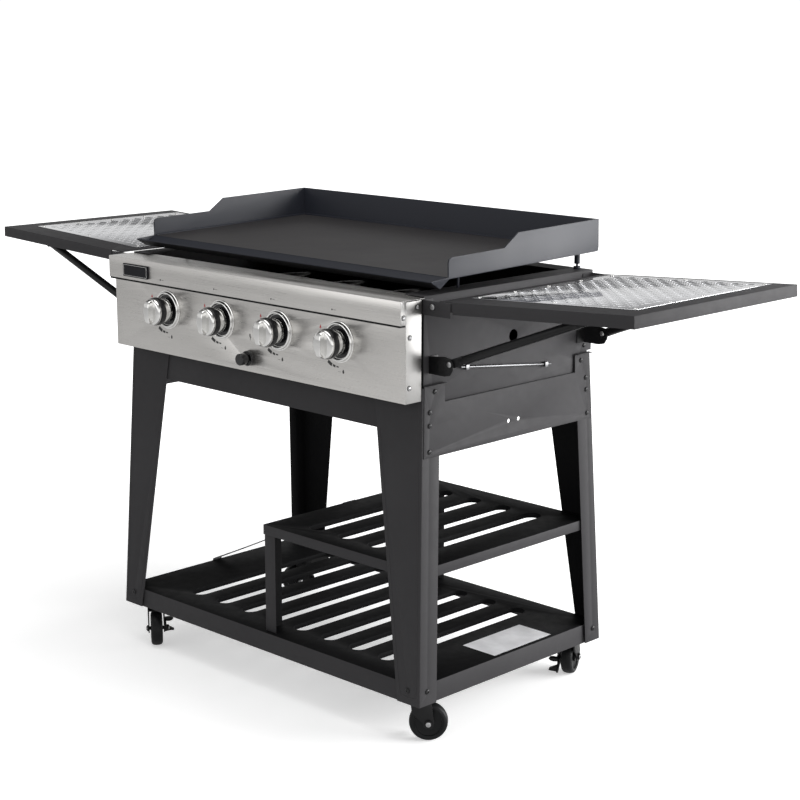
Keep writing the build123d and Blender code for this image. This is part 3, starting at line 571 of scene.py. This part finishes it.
# ------------------------------------------------------------------ knobs and bezels
KNOB_X = (-246.0, -82.0, 82.0, 246.0)
KNOB_Z = 740.0
for i, x in enumerate(KNOB_X, 1):
    o = D(x, 0, KNOB_Z)
    # skirt, black ring and cap are turned; heights are design Y, from the panel outwards
    collar = lathe([(0.0042, -0.3000), (0.0042, -0.2815), (0.0236, -0.2815), (0.0240, -0.2820), (0.0240, -0.2985), (0.0236, -0.2990), (0.0042, -0.3000)], 64)
    ring = lathe([(0.0100, -0.2972), (0.0258, -0.2972), (0.0271, -0.2984), (0.0275, -0.3000), (0.0275, -0.3086), (0.0271, -0.3098), (0.0260, -0.3104), (0.0100, -0.3104), (0.0100, -0.2972)], 64)
    cap = bmesh.new()
    prof = [(0.0, -0.3098), (0.0256, -0.3098), (0.0264, -0.3106), (0.0266, -0.3122), (0.0262, -0.3142), (0.0252, -0.3158), (0.0236, -0.3168), (0.0212, -0.3174), (0.0, -0.3176)]
    cap = lathe(prof, 72)
    # grip: a flat-flanked bar across the cap, highest along its crest
    grip = bmesh.new()
    secs = []
    N = 17
    for k in range(N):
        t = -1 + 2 * k / (N - 1)
        z = 0.0243 * t
        half = 0.0064 * (1 - 0.10 * t * t)
        top = -0.3168 - 0.0118 * math.sqrt(max(0.0, 1 - t ** 4)) - 0.0004
        base = -0.3165
        edge = min(0.0016, (base - top) * 0.45)
        sec = [(-half - 0.0009, base), (-half, base - (base - top) * 0.35), (-half, top + edge), (-half + edge * 0.8, top), (half - edge * 0.8, top), (half, top + edge), (half, base - (base - top) * 0.35), (half + 0.0009, base)]
        secs.append([grip.verts.new((px, py, z)) for px, py in sec])
    for a, b in zip(secs, secs[1:]):
        for k in range(8):
            k2 = (k + 1) % 8
            grip.faces.new((a[k], a[k2], b[k2], b[k]))
    grip.faces.new(secs[0][::-1])
    grip.faces.new(secs[-1])
    bmesh.ops.recalc_face_normals(grip, faces=grip.faces)
    shift = Matrix.Translation(Vector((o.x, DY, o.z)))
    c_me = join_bms([bm_place(collar, shift)], "knob_collar_%d" % i)
    c_ob = link(c_me, "knob_collar_%d" % i, M["chrome"], 30)
    r_me = join_bms([bm_place(ring, shift)], "knob_ring_%d" % i)
    r_ob = link(r_me, "knob_ring_%d" % i, M["ring"], 30)
    k_me = join_bms([bm_place(cap, shift), bm_place(grip, shift)], "knob_cap_%d" % i)
    k_ob = link(k_me, "knob_cap_%d" % i, M["chrome"], 32)
    for ob, sl in ((c_ob, "bright_chrome"), (r_ob, "button_plastic"), (k_ob, "bright_chrome")):
        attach(ob, "knob_%d" % i)
    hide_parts("knob_%d" % i)

rings = []
for x in KNOB_X:
    prof = [(0.0382, -0.27445), (0.0384, -0.2750), (0.0382, -0.2757), (0.0372, -0.2762), (0.0364, -0.2764), (0.0361, -0.2772), (0.0360, -0.2788), (0.0355, -0.2800), (0.0346, -0.2807), (0.0336, -0.2809), (0.0326, -0.2804), (0.0319, -0.2792), (0.0315, -0.2775), (0.0312, -0.2762),
            (0.0308, -0.2757), (0.0154, -0.2757), (0.0152, -0.27445), (0.0382, -0.27445)]
    rings.append(bm_place(lathe(prof, 96), Matrix.Translation(D(x, 0, KNOB_Z) - Vector((0, D(0, 0, 0).y, 0)) + Vector((0, DY, 0)))))
bz = link(join_bms(rings, "bezels"), "knob_bezels_fin", M["chrome"], 30)
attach(bz, "cart")
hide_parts("knob_bezels")
# black flash plates inside the bezels
disc = []
for x in KNOB_X:
    disc.append(bm_place(lathe([(0.0058, -0.27575), (0.0300, -0.27575), (0.0302, -0.2759), (0.0300, -0.2761), (0.0058, -0.2761), (0.0058, -0.27575)], 64), Matrix.Translation(Vector((D(x, 0, 0).x, DY, D(0, 0, KNOB_Z).z)))))
dd = link(join_bms(disc, "flash"), "bezel_inner_discs", M["black_plastic"], 30)
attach(dd, "cart")


# ------------------------------------------------------------------ printed marks and the blank badge
def on_panel(x, z, y=-274.4):
    """Local X to the user's right, local Z up, local +Y into the room."""
    return Matrix.Translation(D(x, y, z)) @ Matrix.Rotation(math.pi, 4, "Z") @ Matrix.Scale(-1, 4, (1, 0, 0))


def arc_band(r0, r1, a0, a1, n=14):
    out = [(r1 * math.cos(math.radians(a0 + (a1 - a0) * k / n)), r1 * math.sin(math.radians(a0 + (a1 - a0) * k / n))) for k in range(n + 1)]
    inn = [(r0 * math.cos(math.radians(a1 + (a0 - a1) * k / n)), r0 * math.sin(math.radians(a1 + (a0 - a1) * k / n))) for k in range(n + 1)]
    return out + inn


black, red = [], []
T = 0.00025
for x in KNOB_X:
    base = on_panel(x, KNOB_Z)
    # off mark at the upper left, a small pointer triangle
    tri = [(-0.0025, -0.0030), (0.0025, -0.0030), (0.0, 0.0034)]
    red.append(slab([(px - 0.0490, pz + 0.0225) for px, pz in tri], T, base))
    red.append(slab([(-0.0503, 0.0170), (-0.0478, 0.0170), (-0.0478, 0.0178), (-0.0503, 0.0178)], T, base))
    # heat wedge: a band at the lower left that thins to the right, in dashes
    for a0, a1, w in ((-127, -113, 0.0062), (-110, -102, 0.0042), (-99, -92, 0.0024)):
        black.append(slab(arc_band(0.0455, 0.0455 + w, a0, a1, 6), T, base))
    # small flame beside it
    fl = []
    for k in range(20):
        a = 2 * math.pi * k / 20
        rr = 0.0022 * (1 + 0.25 * math.sin(a))
        fl.append((0.0105 + rr * math.cos(a) * (1 - 0.45 * max(0.0, math.sin(a))), -0.0545 + rr * 1.7 * math.sin(a)))
    black.append(slab(fl, T, base))
    black.append(slab([(-0.0020, -0.0552), (0.0045, -0.0552), (0.0045, -0.0547), (-0.0020, -0.0547)], T, base))
    # tiny dot on the fascia above
    dot = [(0.0016 * math.cos(2 * math.pi * k / 16), 0.0016 * math.sin(2 * math.pi * k / 16)) for k in range(16)]
    black.append(slab(dot, T, on_panel(x - 3, 800.5, -288.7)))
    black.append(slab([(0.004, -0.0003), (0.010, -0.0003), (0.010, 0.0003), (0.004, 0.0003)], T, on_panel(x - 3, 800.5, -288.7)))
# spark mark left of the igniter
zig = [(-0.0042, 0.0062), (-0.0006, 0.0052), (-0.0016, 0.0014), (0.0010, 0.0010), (-0.0022, -0.0066), (-0.0012, -0.0008), (-0.0036, -0.0002)]
black.append(slab(zig, T, on_panel(4, 717)))
pb = link(join_bms(black, "marks_black"), "panel_marks_dark", M["print_black"], 30)
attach(pb, "cart")
pr = link(join_bms(red, "marks_red"), "panel_marks_red", M["print_red"], 30)
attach(pr, "cart")

# dark strip under the fascia: painted shade in the seam between fascia and panel
seam = bmesh.new()
q = [D(-412.6, -287.6, 787.4), D(412.6, -287.6, 787.4), D(412.6, -274.7, 787.4), D(-412.6, -274.7, 787.4)]
b0 = [seam.verts.new(p) for p in q]
b1 = [seam.verts.new(p + Vector((0, 0, 0.0034))) for p in q]
seam.faces.new(b0)
seam.faces.new(b1[::-1])
for k in range(4):
    seam.faces.new((b0[k], b0[(k + 1) % 4], b1[(k + 1) % 4], b1[k]))
bmesh.ops.recalc_face_normals(seam, faces=seam.faces)
sm = link(join_bms([seam], "seam"), "fascia_seam_shade", M["powder_in"], 30)
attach(sm, "cart")

bw, bh = 0.078, 0.0262
bd = link(join_bms([slab(round_rect(bw, bh, 0.0016, 4), 0.0034, on_panel(-325.5, 810.2, -288.7))], "badge_back"), "badge_plate", M["badge"], 30)
bvm = bd.modifiers.new("b", "BEVEL")
bvm.width = 0.0006
bvm.segments = 2
bake(bd)
bd.data.materials.clear()
bd.data.materials.append(M["badge"])
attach(bd, "cart")
line = [Vector((0, 0, 0))] * 0
for px, pz in round_rect(bw - 0.0050, bh - 0.0050, 0.0010, 4):
    line.append(on_panel(-325.5, 810.2, -292.1) @ Vector((px, 0, pz)))
bf = link(join_bms([tube_along(line, 0.00042, 8, closed=True)], "badge_line"), "badge_border", M["chrome"], 60)
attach(bf, "cart")

# ------------------------------------------------------------------ blank label on the bottom shelf
lab = bmesh.new()
lx0, lx1, ly0, ly1 = 338, 420, -37, 130
pts = [D(lx0, ly0, 124.05), D(lx1, ly0, 124.05), D(lx1, ly1, 124.05), D(lx0, ly1, 124.05)]
lo_ = [lab.verts.new(p) for p in pts]
hi_ = [lab.verts.new(p + Vector((0, 0, 0.00025))) for p in pts]
lab.faces.new(lo_[::-1])
lab.faces.new(hi_)
for k in range(4):
    lab.faces.new((lo_[k], lo_[(k + 1) % 4], hi_[(k + 1) % 4], hi_[k]))
bmesh.ops.recalc_face_normals(lab, faces=lab.faces)
lb = link(join_bms([lab], "label"), "shelf_label", M["label"], 30)
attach(lb, "cart")


# ------------------------------------------------------------------ screws
HXR, HYR, ZR, SLX, SLY, YM = 415.2, 237.0, 649.6, 0.0364, 0.0461, 3.0
hx = lambda z: HXR + SLX * (ZR - z)
hy = lambda z: HYR + SLY * (ZR - z)
its = []
for s in (-1, 1):
    for t in (-1, 1):
        z = 112.0
        yy = YM + t * (hy(z) - 21.0)
        its.append((D(s * (hx(z) + 0.3), yy, z), (s, 0, 0.03 * 0), 0.0050, 0.0028, random.random(), False))
        its.append((D(s * (hx(z) - 30), YM + t * (hy(z) + 0.3), z), (0, t, 0), 0.0050, 0.0028, random.random(), False))
        for z in (556.0, 603.0, 627.0):
            its.append((D(s * (hx(z) + 1.5), YM + t * (hy(z) - 18), z), (s, 0, 0), 0.0047, 0.0028, random.random(), False))
    for y in (-203.0, 209.0):
        its.append((D(s * (hx(663) + 1.5), y, 663.0), (s, 0, 0), 0.0047, 0.0028, random.random(), False))
heads(its, "cart_screw_heads", M["blackscrew"], "cart", ("cart_screws",))
# screws through the stainless returns, and the strip at the rear of each head side
its = []
for s in (-1, 1):
    for (y, z) in ((-246.0, 820.0), (-281.0, 804.5), (-264.0, 767.5), (-265.3, 677.5)):
        xx = 414.6 if z > 795 else 413.2
        its.append((D(s * (xx + 0.1), y, z), (s, 0, 0), 0.0040, 0.0022, random.random(), False))
wsh = []
for o, d_, r_, h_, t_, f_ in its:
    wsh.append(bm_place(lathe([(0.0, -0.0002), (0.0050, -0.0002), (0.0050, 0.0003), (0.0, 0.0003)], 24), axis_matrix(o, d_)))
wo = link(join_bms(wsh, "washers"), "return_washers", M["blackscrew"], 40)
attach(wo, "cart")
heads(its, "return_screws", M["zinc"], "cart")
its = []
for s in (-1, 1):
    its.append((D(s * 412.1, 222.0, 690.0), (s, 0, 0), 0.0042, 0.0026, 0.3, False))
    its.append((D(s * 412.1, 222.0, 774.0), (s, 0, 0), 0.0042, 0.0026, 0.9, False))
    its.append((D(s * 413.6, -218.0, 812.0), (s, 0, 0), 0.0036, 0.0022, 0.7, False))
heads(its, "head_screws", M["blackscrew"], "cart")

# pivot pins: domed rivets over the CAD heads
its = []
for s in (-1, 1):
    for (y, d) in ((-231.5, -1), (238.9, 1)):
        its.append((D(s * 437.0, y + d * 2.4, 821.0), (0, d, 0)))
    for (y, d) in ((-212.0, -1), (219.0, 1)):
        its.append((D(s * 462.0, y + d * 4.6, 720.0), (0, d, 0)))
bms = []
for o, d in its:
    bms.append(bm_place(lathe([(0.0, -0.0024), (0.0050, -0.0024), (0.0052, -0.0019), (0.0052, -0.0004), (0.0046, 0.0000), (0.0030, 0.0004), (0.0, 0.0006)], 28), axis_matrix(o, d)))
    bms.append(bm_place(lathe([(0.0, -0.0074), (0.0029, -0.0074), (0.0029, -0.0020), (0.0, -0.0020)], 20), axis_matrix(o, d)))
# the peened inner ends of the brace pins
inner = []
for s in (-1, 1):
    for o, d in ((D(s * 462.0, 213.9, 720.0), (0, -1, 0)), (D(s * 462.0, -206.9, 720.0), (0, 1, 0))):
        inner.append(bm_place(lathe([(0.0, -0.0006), (0.0046, -0.0006), (0.0049, 0.0002), (0.0046, 0.0011), (0.0030, 0.0018), (0.0, 0.0020)], 28), axis_matrix(o, d)))
pe = link(join_bms(inner, "peened"), "pivot_pin_ends", M["chrome"], 40)
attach(pe, "cart")
pp = link(join_bms(bms, "pivots"), "pivot_rivets", M["zinc"], 35)
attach(pp, "cart")
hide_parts("pivot_pins")


# ------------------------------------------------------------------ embossed borders on the legs
def leg_pt(sx, sy, face, a, z):
    """A point on a leg: face 'f' is the broad front or rear face (a = distance in from the corner), 's' the side flange."""
    if face == "f":
        return D(sx * (hx(z) - a), YM + sy * hy(z), z)
    return D(sx * hx(z), YM + sy * (hy(z) - a), z)


def inner_edge(z):
    return 302.0 + 0.15 * (600.0 - z)


for sx in (-1, 1):
    for sy in (-1, 1):
        pts = []
        zt, zb = 655.0, 100.0
        off = 7.5
        for k in range(13):
            z = zt + (zb + 10 - zt) * k / 12
            pts.append(leg_pt(sx, sy, "f", off, z))
        wb = hx(zb) - inner_edge(zb)
        c0 = leg_pt(sx, sy, "f", off, zb + 10)
        for k in range(1, 7):
            a = math.radians(90 * k / 6)
            pts.append(leg_pt(sx, sy, "f", off + 10 * (1 - math.cos(a)), zb + 10 - 10 * math.sin(a)))
        wi = hx(zb) - inner_edge(zb) - off
        for k in range(1, 4):
            pts.append(leg_pt(sx, sy, "f", off + 10 + (wi - off - 20) * k / 3, zb))
        for k in range(1, 7):
            a = math.radians(90 * k / 6)
            pts.append(leg_pt(sx, sy, "f", wi - 10 + 10 * math.sin(a), zb + 10 * (1 - math.cos(a))))
        for k in range(1, 13):
            z = zb + 10 + (585.0 - zb - 10) * k / 12
            pts.append(leg_pt(sx, sy, "f", hx(z) - inner_edge(z) - off, z))
        tag = ("front" if sy < 0 else "rear") + ("_right" if sx > 0 else "_left")
        me = join_bms([tube_along(pts, 0.0011, 8)], "bead_" + tag)
        # sink the bead so that only a low ridge shows
        ob = link(me, "leg_bead_" + tag, M["powder"], 60)
        for v in ob.data.vertices:
            v.co.y += -sy * 0.00045
        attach(ob, "cart")


# ------------------------------------------------------------------ tread-plate inlays
HX_, HZ_ = 437.0, 821.0
TILT = {"right": 3.52, "left": 2.1}


def shelf_matrix(side):
    s = 1 if side == "right" else -1
    th = math.radians(TILT[side])
    X = Vector((s * math.cos(th), 0, math.sin(th)))
    Z = Vector((-s * math.sin(th), 0, math.cos(th)))
    m = Matrix.Identity(4)
    m.col[0] = (*X, 0)
    m.col[1] = (0, 1, 0, 0)
    m.col[2] = (*Z, 0)
    return Matrix.Translation(D(s * HX_, 0, HZ_)) @ m


def lens(bm, cx, cy, ang, L=0.0118, W=0.0030, h=0.00125, n=10):
    """One raised bar of the tread: pointed at both ends and crowned."""
    ca, sa = math.cos(ang), math.sin(ang)
    ring0, ring1 = [], []
    for k in range(n * 2):
        t = k / n
        u = 1 - 2 * t if t <= 1 else -1 + 2 * (t - 1)
        s_ = 1 if t <= 1 else -1
        w = W * (1 - u * u) ** 0.8
        x, y = L * u, s_ * w
        ring0.append(bm.verts.new((cx + x * ca - y * sa, cy + x * sa + y * ca, -0.0003)))
        x, y = L * 0.93 * u, s_ * w * 0.72
        ring1.append(bm.verts.new((cx + x * ca - y * sa, cy + x * sa + y * ca, h * 0.62 * (1 - 0.35 * u * u))))
    m = len(ring0)
    ring2 = []
    for k in range(m):
        t = k / n
        u = 1 - 2 * t if t <= 1 else -1 + 2 * (t - 1)
        s_ = 1 if t <= 1 else -1
        w = W * (1 - u * u) ** 0.8
        x, y = L * 0.8 * u, s_ * w * 0.3
        ring2.append(bm.verts.new((cx + x * ca - y * sa, cy + x * sa + y * ca, h * (1 - 0.25 * u * u))))
    for k in range(m):
        bm.faces.new((ring0[k], ring0[(k + 1) % m], ring1[(k + 1) % m], ring1[k]))
        bm.faces.new((ring1[k], ring1[(k + 1) % m], ring2[(k + 1) % m], ring2[k]))
    bm.faces.new(ring2)
    bm.faces.new(ring0[::-1])


for side in ("right", "left"):
    refine("shelf_inlay_" + side, M["tread"], 0.0003, 2)
    mt = shelf_matrix(side)
    bm = bmesh.new()
    pitch = 0.0165
    x0, x1, y0, y1 = 0.038, 0.396, -0.172, 0.222
    nx = int((x1 - x0 - 0.03) / pitch)
    ny = int((y1 - y0 - 0.03) / pitch)
    ox = (x0 + x1) / 2 - (nx - 1) * pitch / 2
    oy = (y0 + y1) / 2 - (ny - 1) * pitch / 2
    for i in range(nx):
        for j in range(ny):
            ang = math.radians(45 if (i + j) % 2 else -45)
            lens(bm, ox + i * pitch, oy + j * pitch, ang, 0.0082, 0.0023, 0.00045)
    zt = 0.0111
    bm_place(bm, mt @ Matrix.Translation((0, 0, zt)))
    bmesh.ops.recalc_face_normals(bm, faces=bm.faces)
    me = bpy.data.meshes.new("tread")
    bm.to_mesh(me)
    bm.free()
    ob = link(me, "tread_bars_" + side, M["tread"], 50)
    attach(ob, "side_shelf_" + side)
    riv = []
    for (u, v) in [(0.047, -0.162), (0.217, -0.162), (0.387, -0.162), (0.047, 0.212), (0.217, 0.212), (0.387, 0.212), (0.047, 0.025), (0.387, 0.025), (0.387, -0.068), (0.387, 0.118), (0.047, -0.068), (0.047, 0.118)]:
        b = lathe([(0.0, -0.0004), (0.0036, -0.0004), (0.0036, 0.0), (0.0032, 0.0007), (0.0020, 0.0013), (0.0, 0.0015)], 24)
        bm_place(b, mt @ Matrix.Translation((u, v, zt)) @ Matrix.Rotation(math.pi / 2, 4, "X"))
        riv.append(b)
    # dark strips round the inlay's edges: painted shade in the gap between inlay and rim
    gap = []
    for (u0, u1, v0, v1) in ((0.396, 0.3975, -0.1735, 0.2235), (0.0365, 0.038, -0.1735, 0.2235), (0.038, 0.396, -0.1735, -0.172), (0.038, 0.396, 0.222, 0.2235)):
        g_ = bmesh.new()
        c0 = [g_.verts.new((u, v, 0.0099)) for u, v in ((u0, v0), (u1, v0), (u1, v1), (u0, v1))]
        c1 = [g_.verts.new((u, v, 0.01035)) for u, v in ((u0, v0), (u1, v0), (u1, v1), (u0, v1))]
        g_.faces.new(c0[::-1])
        g_.faces.new(c1)
        for k in range(4):
            g_.faces.new((c0[k], c0[(k + 1) % 4], c1[(k + 1) % 4], c1[k]))
        bmesh.ops.recalc_face_normals(g_, faces=g_.faces)
        gap.append(bm_place(g_, mt))
    go = link(join_bms(gap, "gap"), "inlay_gap_shade_" + side, M["powder_in"], 40)
    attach(go, "side_shelf_" + side)
    ro = link(join_bms(riv, "rivets"), "inlay_rivets_" + side, M["chrome"], 40)
    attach(ro, "side_shelf_" + side)


# ------------------------------------------------------------------ castor wheels
CX_, CY_, TR_ = 384.0, 223.0, 27.0
HEAD = {"fr": 223.0, "fl": 144.0, "rr": 293.0, "rl": 60.0}
SG = {"fr": (1, -1), "fl": (-1, -1), "rr": (1, 1), "rl": (-1, 1)}
for t in ("fr", "fl", "rr", "rl"):
    h = math.radians(HEAD[t])
    c, s = math.cos(h), math.sin(h)
    sx, sy = SG[t]
    cx, cy = sx * CX_, YM + sy * CY_
    wx, wy = cx - TR_ * c, cy - TR_ * s
    axis = Vector((-s, c, 0))
    R, W = 0.0365, 0.0120
    prof = [(0.0041, -0.0122), (0.0098, -0.0122), (0.0104, -0.0116), (0.0106, -0.0084), (0.0240, -0.0080), (0.0258, -0.0086), (0.0262, -0.0112), (0.0272, -0.0119),
            (0.0306, -0.0120), (0.0312, -0.0116), (0.0318, -0.0112), (0.0330, -0.0110), (0.0346, -0.0096), (0.0358, -0.0070), (0.0364, -0.0036), (0.0365, 0.0)]
    prof = prof + [(r, -y) for r, y in prof[::-1][1:]] + [(0.0041, -0.0122)]
    b = lathe(prof, 72)
    bm_place(b, axis_matrix(D(wx, wy, 36.5), axis))
    me = join_bms([b], "wheel_" + t)
    ob = link(me, "castor_tyre_" + t, [M["rubber"], M["rubber_face"]], 34)
    ctr = D(wx, wy, 36.5)
    for p in ob.data.polygons:
        d = p.center - ctr
        rad = (d - axis * d.dot(axis)).length
        p.material_index = 1 if rad < 0.0300 else 0
    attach(ob, "castor_wheel_" + t)
    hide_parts("castor_wheel_" + t)
    # bright axle ends
    b1 = lathe([(0.0, -0.0006), (0.0048, -0.0006), (0.0050, 0.0002), (0.0048, 0.0012), (0.0034, 0.0020), (0.0, 0.0023)], 28)
    bm_place(b1, axis_matrix(D(wx, wy, 36.5) + axis * 0.0202, axis))
    b2 = lathe([(0.0, -0.0006), (0.0048, -0.0006), (0.0050, 0.0002), (0.0048, 0.0012), (0.0034, 0.0020), (0.0, 0.0023)], 28)
    bm_place(b2, axis_matrix(D(wx, wy, 36.5) - axis * 0.0250, -axis))
    ao = link(join_bms([b1, b2], "axle"), "castor_axle_ends_" + t, M["zinc"], 40)
    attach(ao, "castor_fork_" + t)

# ------------------------------------------------------------------ gas bottle strap: woven band with folded edges
a, b_ = D(-431.6, -8.0, 126.6), D(-4.0, -8.0, 333.0)
bm = bmesh.new()
rows = []
NS = 40
for i in range(NS + 1):
    t = i / NS
    p = a.lerp(b_, 0.012 + 0.972 * t)
    sag = -0.0035 * 4 * t * (1 - t)
    tw = math.radians(3.0 * math.sin(math.pi * t))
    row = []
    dirn = (b_ - a).normalized()
    nrm = Vector((-dirn.z, 0, dirn.x))
    wv = (Vector((0, 1, 0)) * math.cos(tw) + nrm * math.sin(tw))
    prof = [(-0.0125, 0.0), (-0.0118, 0.0008), (-0.0100, 0.0010), (0.0100, 0.0010), (0.0118, 0.0008), (0.0125, 0.0), (0.0118, -0.0008), (0.0100, -0.0010), (-0.0100, -0.0010), (-0.0118, -0.0008)]
    for w, h in prof:
        row.append(bm.verts.new(p + Vector((0, 0, sag)) + wv * w + nrm * h))
    rows.append(row)
for r0, r1 in zip(rows, rows[1:]):
    for k in range(10):
        bm.faces.new((r0[k], r0[(k + 1) % 10], r1[(k + 1) % 10], r1[k]))
bm.faces.new(rows[0][::-1])
bm.faces.new(rows[-1])
# the tail that folds over the shelf rim
tail = []
path = [D(-428.5, -8, 128.2), D(-430.8, -8, 127.2), D(-432.4, -8, 124.6), D(-432.8, -8, 118), D(-432.6, -8, 100), D(-432.2, -8, 88)]
for i, p in enumerate(path):
    q0 = path[max(i - 1, 0)]
    q1 = path[min(i + 1, len(path) - 1)]
    dirn = (q1 - q0).normalized()
    nrm = Vector((-dirn.z, 0, dirn.x))
    tail.append([bm.verts.new(p + Vector((0, 1, 0)) * w + nrm * h) for w, h in ((-0.0125, 0.0), (-0.0118, 0.0007), (0.0118, 0.0007), (0.0125, 0.0), (0.0118, -0.0007), (-0.0118, -0.0007))])
for r0, r1 in zip(tail, tail[1:]):
    for k in range(6):
        bm.faces.new((r0[k], r0[(k + 1) % 6], r1[(k + 1) % 6], r1[k]))
bm.faces.new(tail[0][::-1])
bm.faces.new(tail[-1])
# cam buckle on the mid shelf's rim
for (xx0, xx1, yy0, yy1, zz0, zz1) in ((-8.5, -3.6, -25, -21.5, 322.5, 340), (-8.5, -3.6, 5.5, 9, 322.5, 340), (-8.5, -3.6, -25, 9, 336, 340), (-8.5, -4.4, -25, 9, 322.5, 325)):
    lo_, hi_ = D(xx0, yy0, zz0), D(xx1, yy1, zz1)
    ret = bmesh.ops.create_cube(bm, size=1.0)
    ctr, sz = (lo_ + hi_) / 2, hi_ - lo_
    for v in ret["verts"]:
        v.co = Vector((ctr.x + v.co.x * sz.x, ctr.y + v.co.y * sz.y, ctr.z + v.co.z * sz.z))
bmesh.ops.recalc_face_normals(bm, faces=bm.faces)
me = bpy.data.meshes.new("strap")
bm.to_mesh(me)
bm.free()
so = link(me, "bottle_strap_fin", M["webbing"], 40)
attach(so, "cart")
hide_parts("bottle_strap")

# ------------------------------------------------------------------ floor, light, camera
scene = bpy.context.scene
fl_m, nt, b = mat("studio_floor")
b.inputs["Base Color"].default_value = (0.93, 0.93, 0.93, 1)
b.inputs["Roughness"].default_value = 0.9
b.inputs["Specular IOR Level"].default_value = 0.05
b.inputs["Emission Color"].default_value = (1, 1, 1, 1)
tcf = node(nt, "ShaderNodeTexCoord")
vl = node(nt, "ShaderNodeVectorMath", operation="LENGTH")
nt.links.new(tcf.outputs["Object"], vl.inputs[0])
nt.links.new(maprange(nt, vl.outputs["Value"], 0.9, 2.4, 0.42, 1.1), b.inputs["Emission Strength"])
lpf = node(nt, "ShaderNodeLightPath")
b2 = node(nt, "ShaderNodeBsdfPrincipled")
b2.inputs["Base Color"].default_value = (0.60, 0.60, 0.60, 1)
b2.inputs["Roughness"].default_value = 0.9
b2.inputs["Specular IOR Level"].default_value = 0.05
b2.inputs["Emission Color"].default_value = (1, 1, 1, 1)
b2.inputs["Emission Strength"].default_value = 0.22
mxf = node(nt, "ShaderNodeMixShader")
nt.links.new(lpf.outputs["Is Camera Ray"], mxf.inputs[0])
nt.links.new(b2.outputs[0], mxf.inputs[1])
nt.links.new(b.outputs[0], mxf.inputs[2])
nt.links.new(mxf.outputs[0], nt.nodes["Material Output"].inputs["Surface"])
fm = bmesh.new()
bmesh.ops.create_grid(fm, x_segments=8, y_segments=8, size=14.0)
fme = bpy.data.meshes.new("floor")
fm.to_mesh(fme)
fm.free()
floor = bpy.data.objects.new("studio_floor", fme)
scene.collection.objects.link(floor)
fme.materials.append(fl_m)

# a white sweep low down, darker overhead, brighter to the right; the camera itself sees plain white
world = bpy.data.worlds.new("studio")
scene.world = world
world.use_nodes = True
wn = world.node_tree
bg = wn.nodes["Background"]
tc = node(wn, "ShaderNodeTexCoord")
sep = node(wn, "ShaderNodeSeparateXYZ")
wn.links.new(tc.outputs["Generated"], sep.inputs["Vector"])
elev = maprange(wn, sep.outputs["Z"], 0.30, 0.62, 0.85, 0.25)
side = maprange(wn, sep.outputs["X"], -0.4, 0.9, 0.85, 1.5)
mul = node(wn, "ShaderNodeMath", operation="MULTIPLY")
wn.links.new(elev, mul.inputs[0])
wn.links.new(side, mul.inputs[1])
lp = node(wn, "ShaderNodeLightPath")
mix = node(wn, "ShaderNodeMix", data_type="FLOAT")
wn.links.new(lp.outputs["Is Camera Ray"], mix.inputs[0])
wn.links.new(mul.outputs[0], mix.inputs[2])
mix.inputs[3].default_value = 1.05
wn.links.new(mix.outputs[0], bg.inputs["Strength"])
bg.inputs["Color"].default_value = (1, 1, 1, 1)


def area(name, loc, target, size, power, sy=None, color=(1, 1, 1)):
    l = bpy.data.lights.new(name, "AREA")
    l.shape = "RECTANGLE"
    l.size = size
    l.size_y = sy or size
    l.energy = power
    l.color = color
    o = bpy.data.objects.new(name, l)
    scene.collection.objects.link(o)
    o.location = loc
    o.rotation_euler = (Vector(target) - Vector(loc)).to_track_quat("-Z", "Y").to_euler()
    return o


area("top_soft", (0.1, -0.2, 3.4), (0, 0, 0.4), 2.6, 40, 2.2)
area("right_soft", (2.9, 2.4, 1.1), (0.3, 0, 0.6), 3.0, 215, 2.2)
area("front_soft", (-1.4, -3.8, 1.8), (0, 0, 0.6), 2.2, 12, 1.8)

cam_d = bpy.data.cameras.new("cam")
cam = bpy.data.objects.new("cam", cam_d)
scene.collection.objects.link(cam)
scene.camera = cam
yaw, pitch, roll = math.radians(43.46), math.radians(-12.71), math.radians(0.31)
d = Vector((-math.sin(yaw) * math.cos(pitch), math.cos(yaw) * math.cos(pitch), math.sin(pitch)))
r = Vector((math.cos(yaw), math.sin(yaw), 0))
u = r.cross(d)
c_, s_ = math.cos(roll), math.sin(roll)
r2 = c_ * r + s_ * u
u2 = -s_ * r + c_ * u
m3 = Matrix((r2, u2, -d)).transposed()
cam.matrix_world = Matrix.Translation(D(2567.7, -2483.3, 1335.9)) @ m3.to_4x4()
cam_d.sensor_width = 36.0
cam_d.sensor_fit = "HORIZONTAL"
cam_d.lens = 1806.17 / 800 * 36.0
cam_d.shift_x = 0.5 - 430.83 / 800
cam_d.shift_y = 410.52 / 800 - 0.5
cam_d.clip_end = 60.0
cam_d.dof.use_dof = False

scene.view_settings.view_transform = "Standard"
scene.view_settings.look = "None"
scene.view_settings.exposure = 0.0
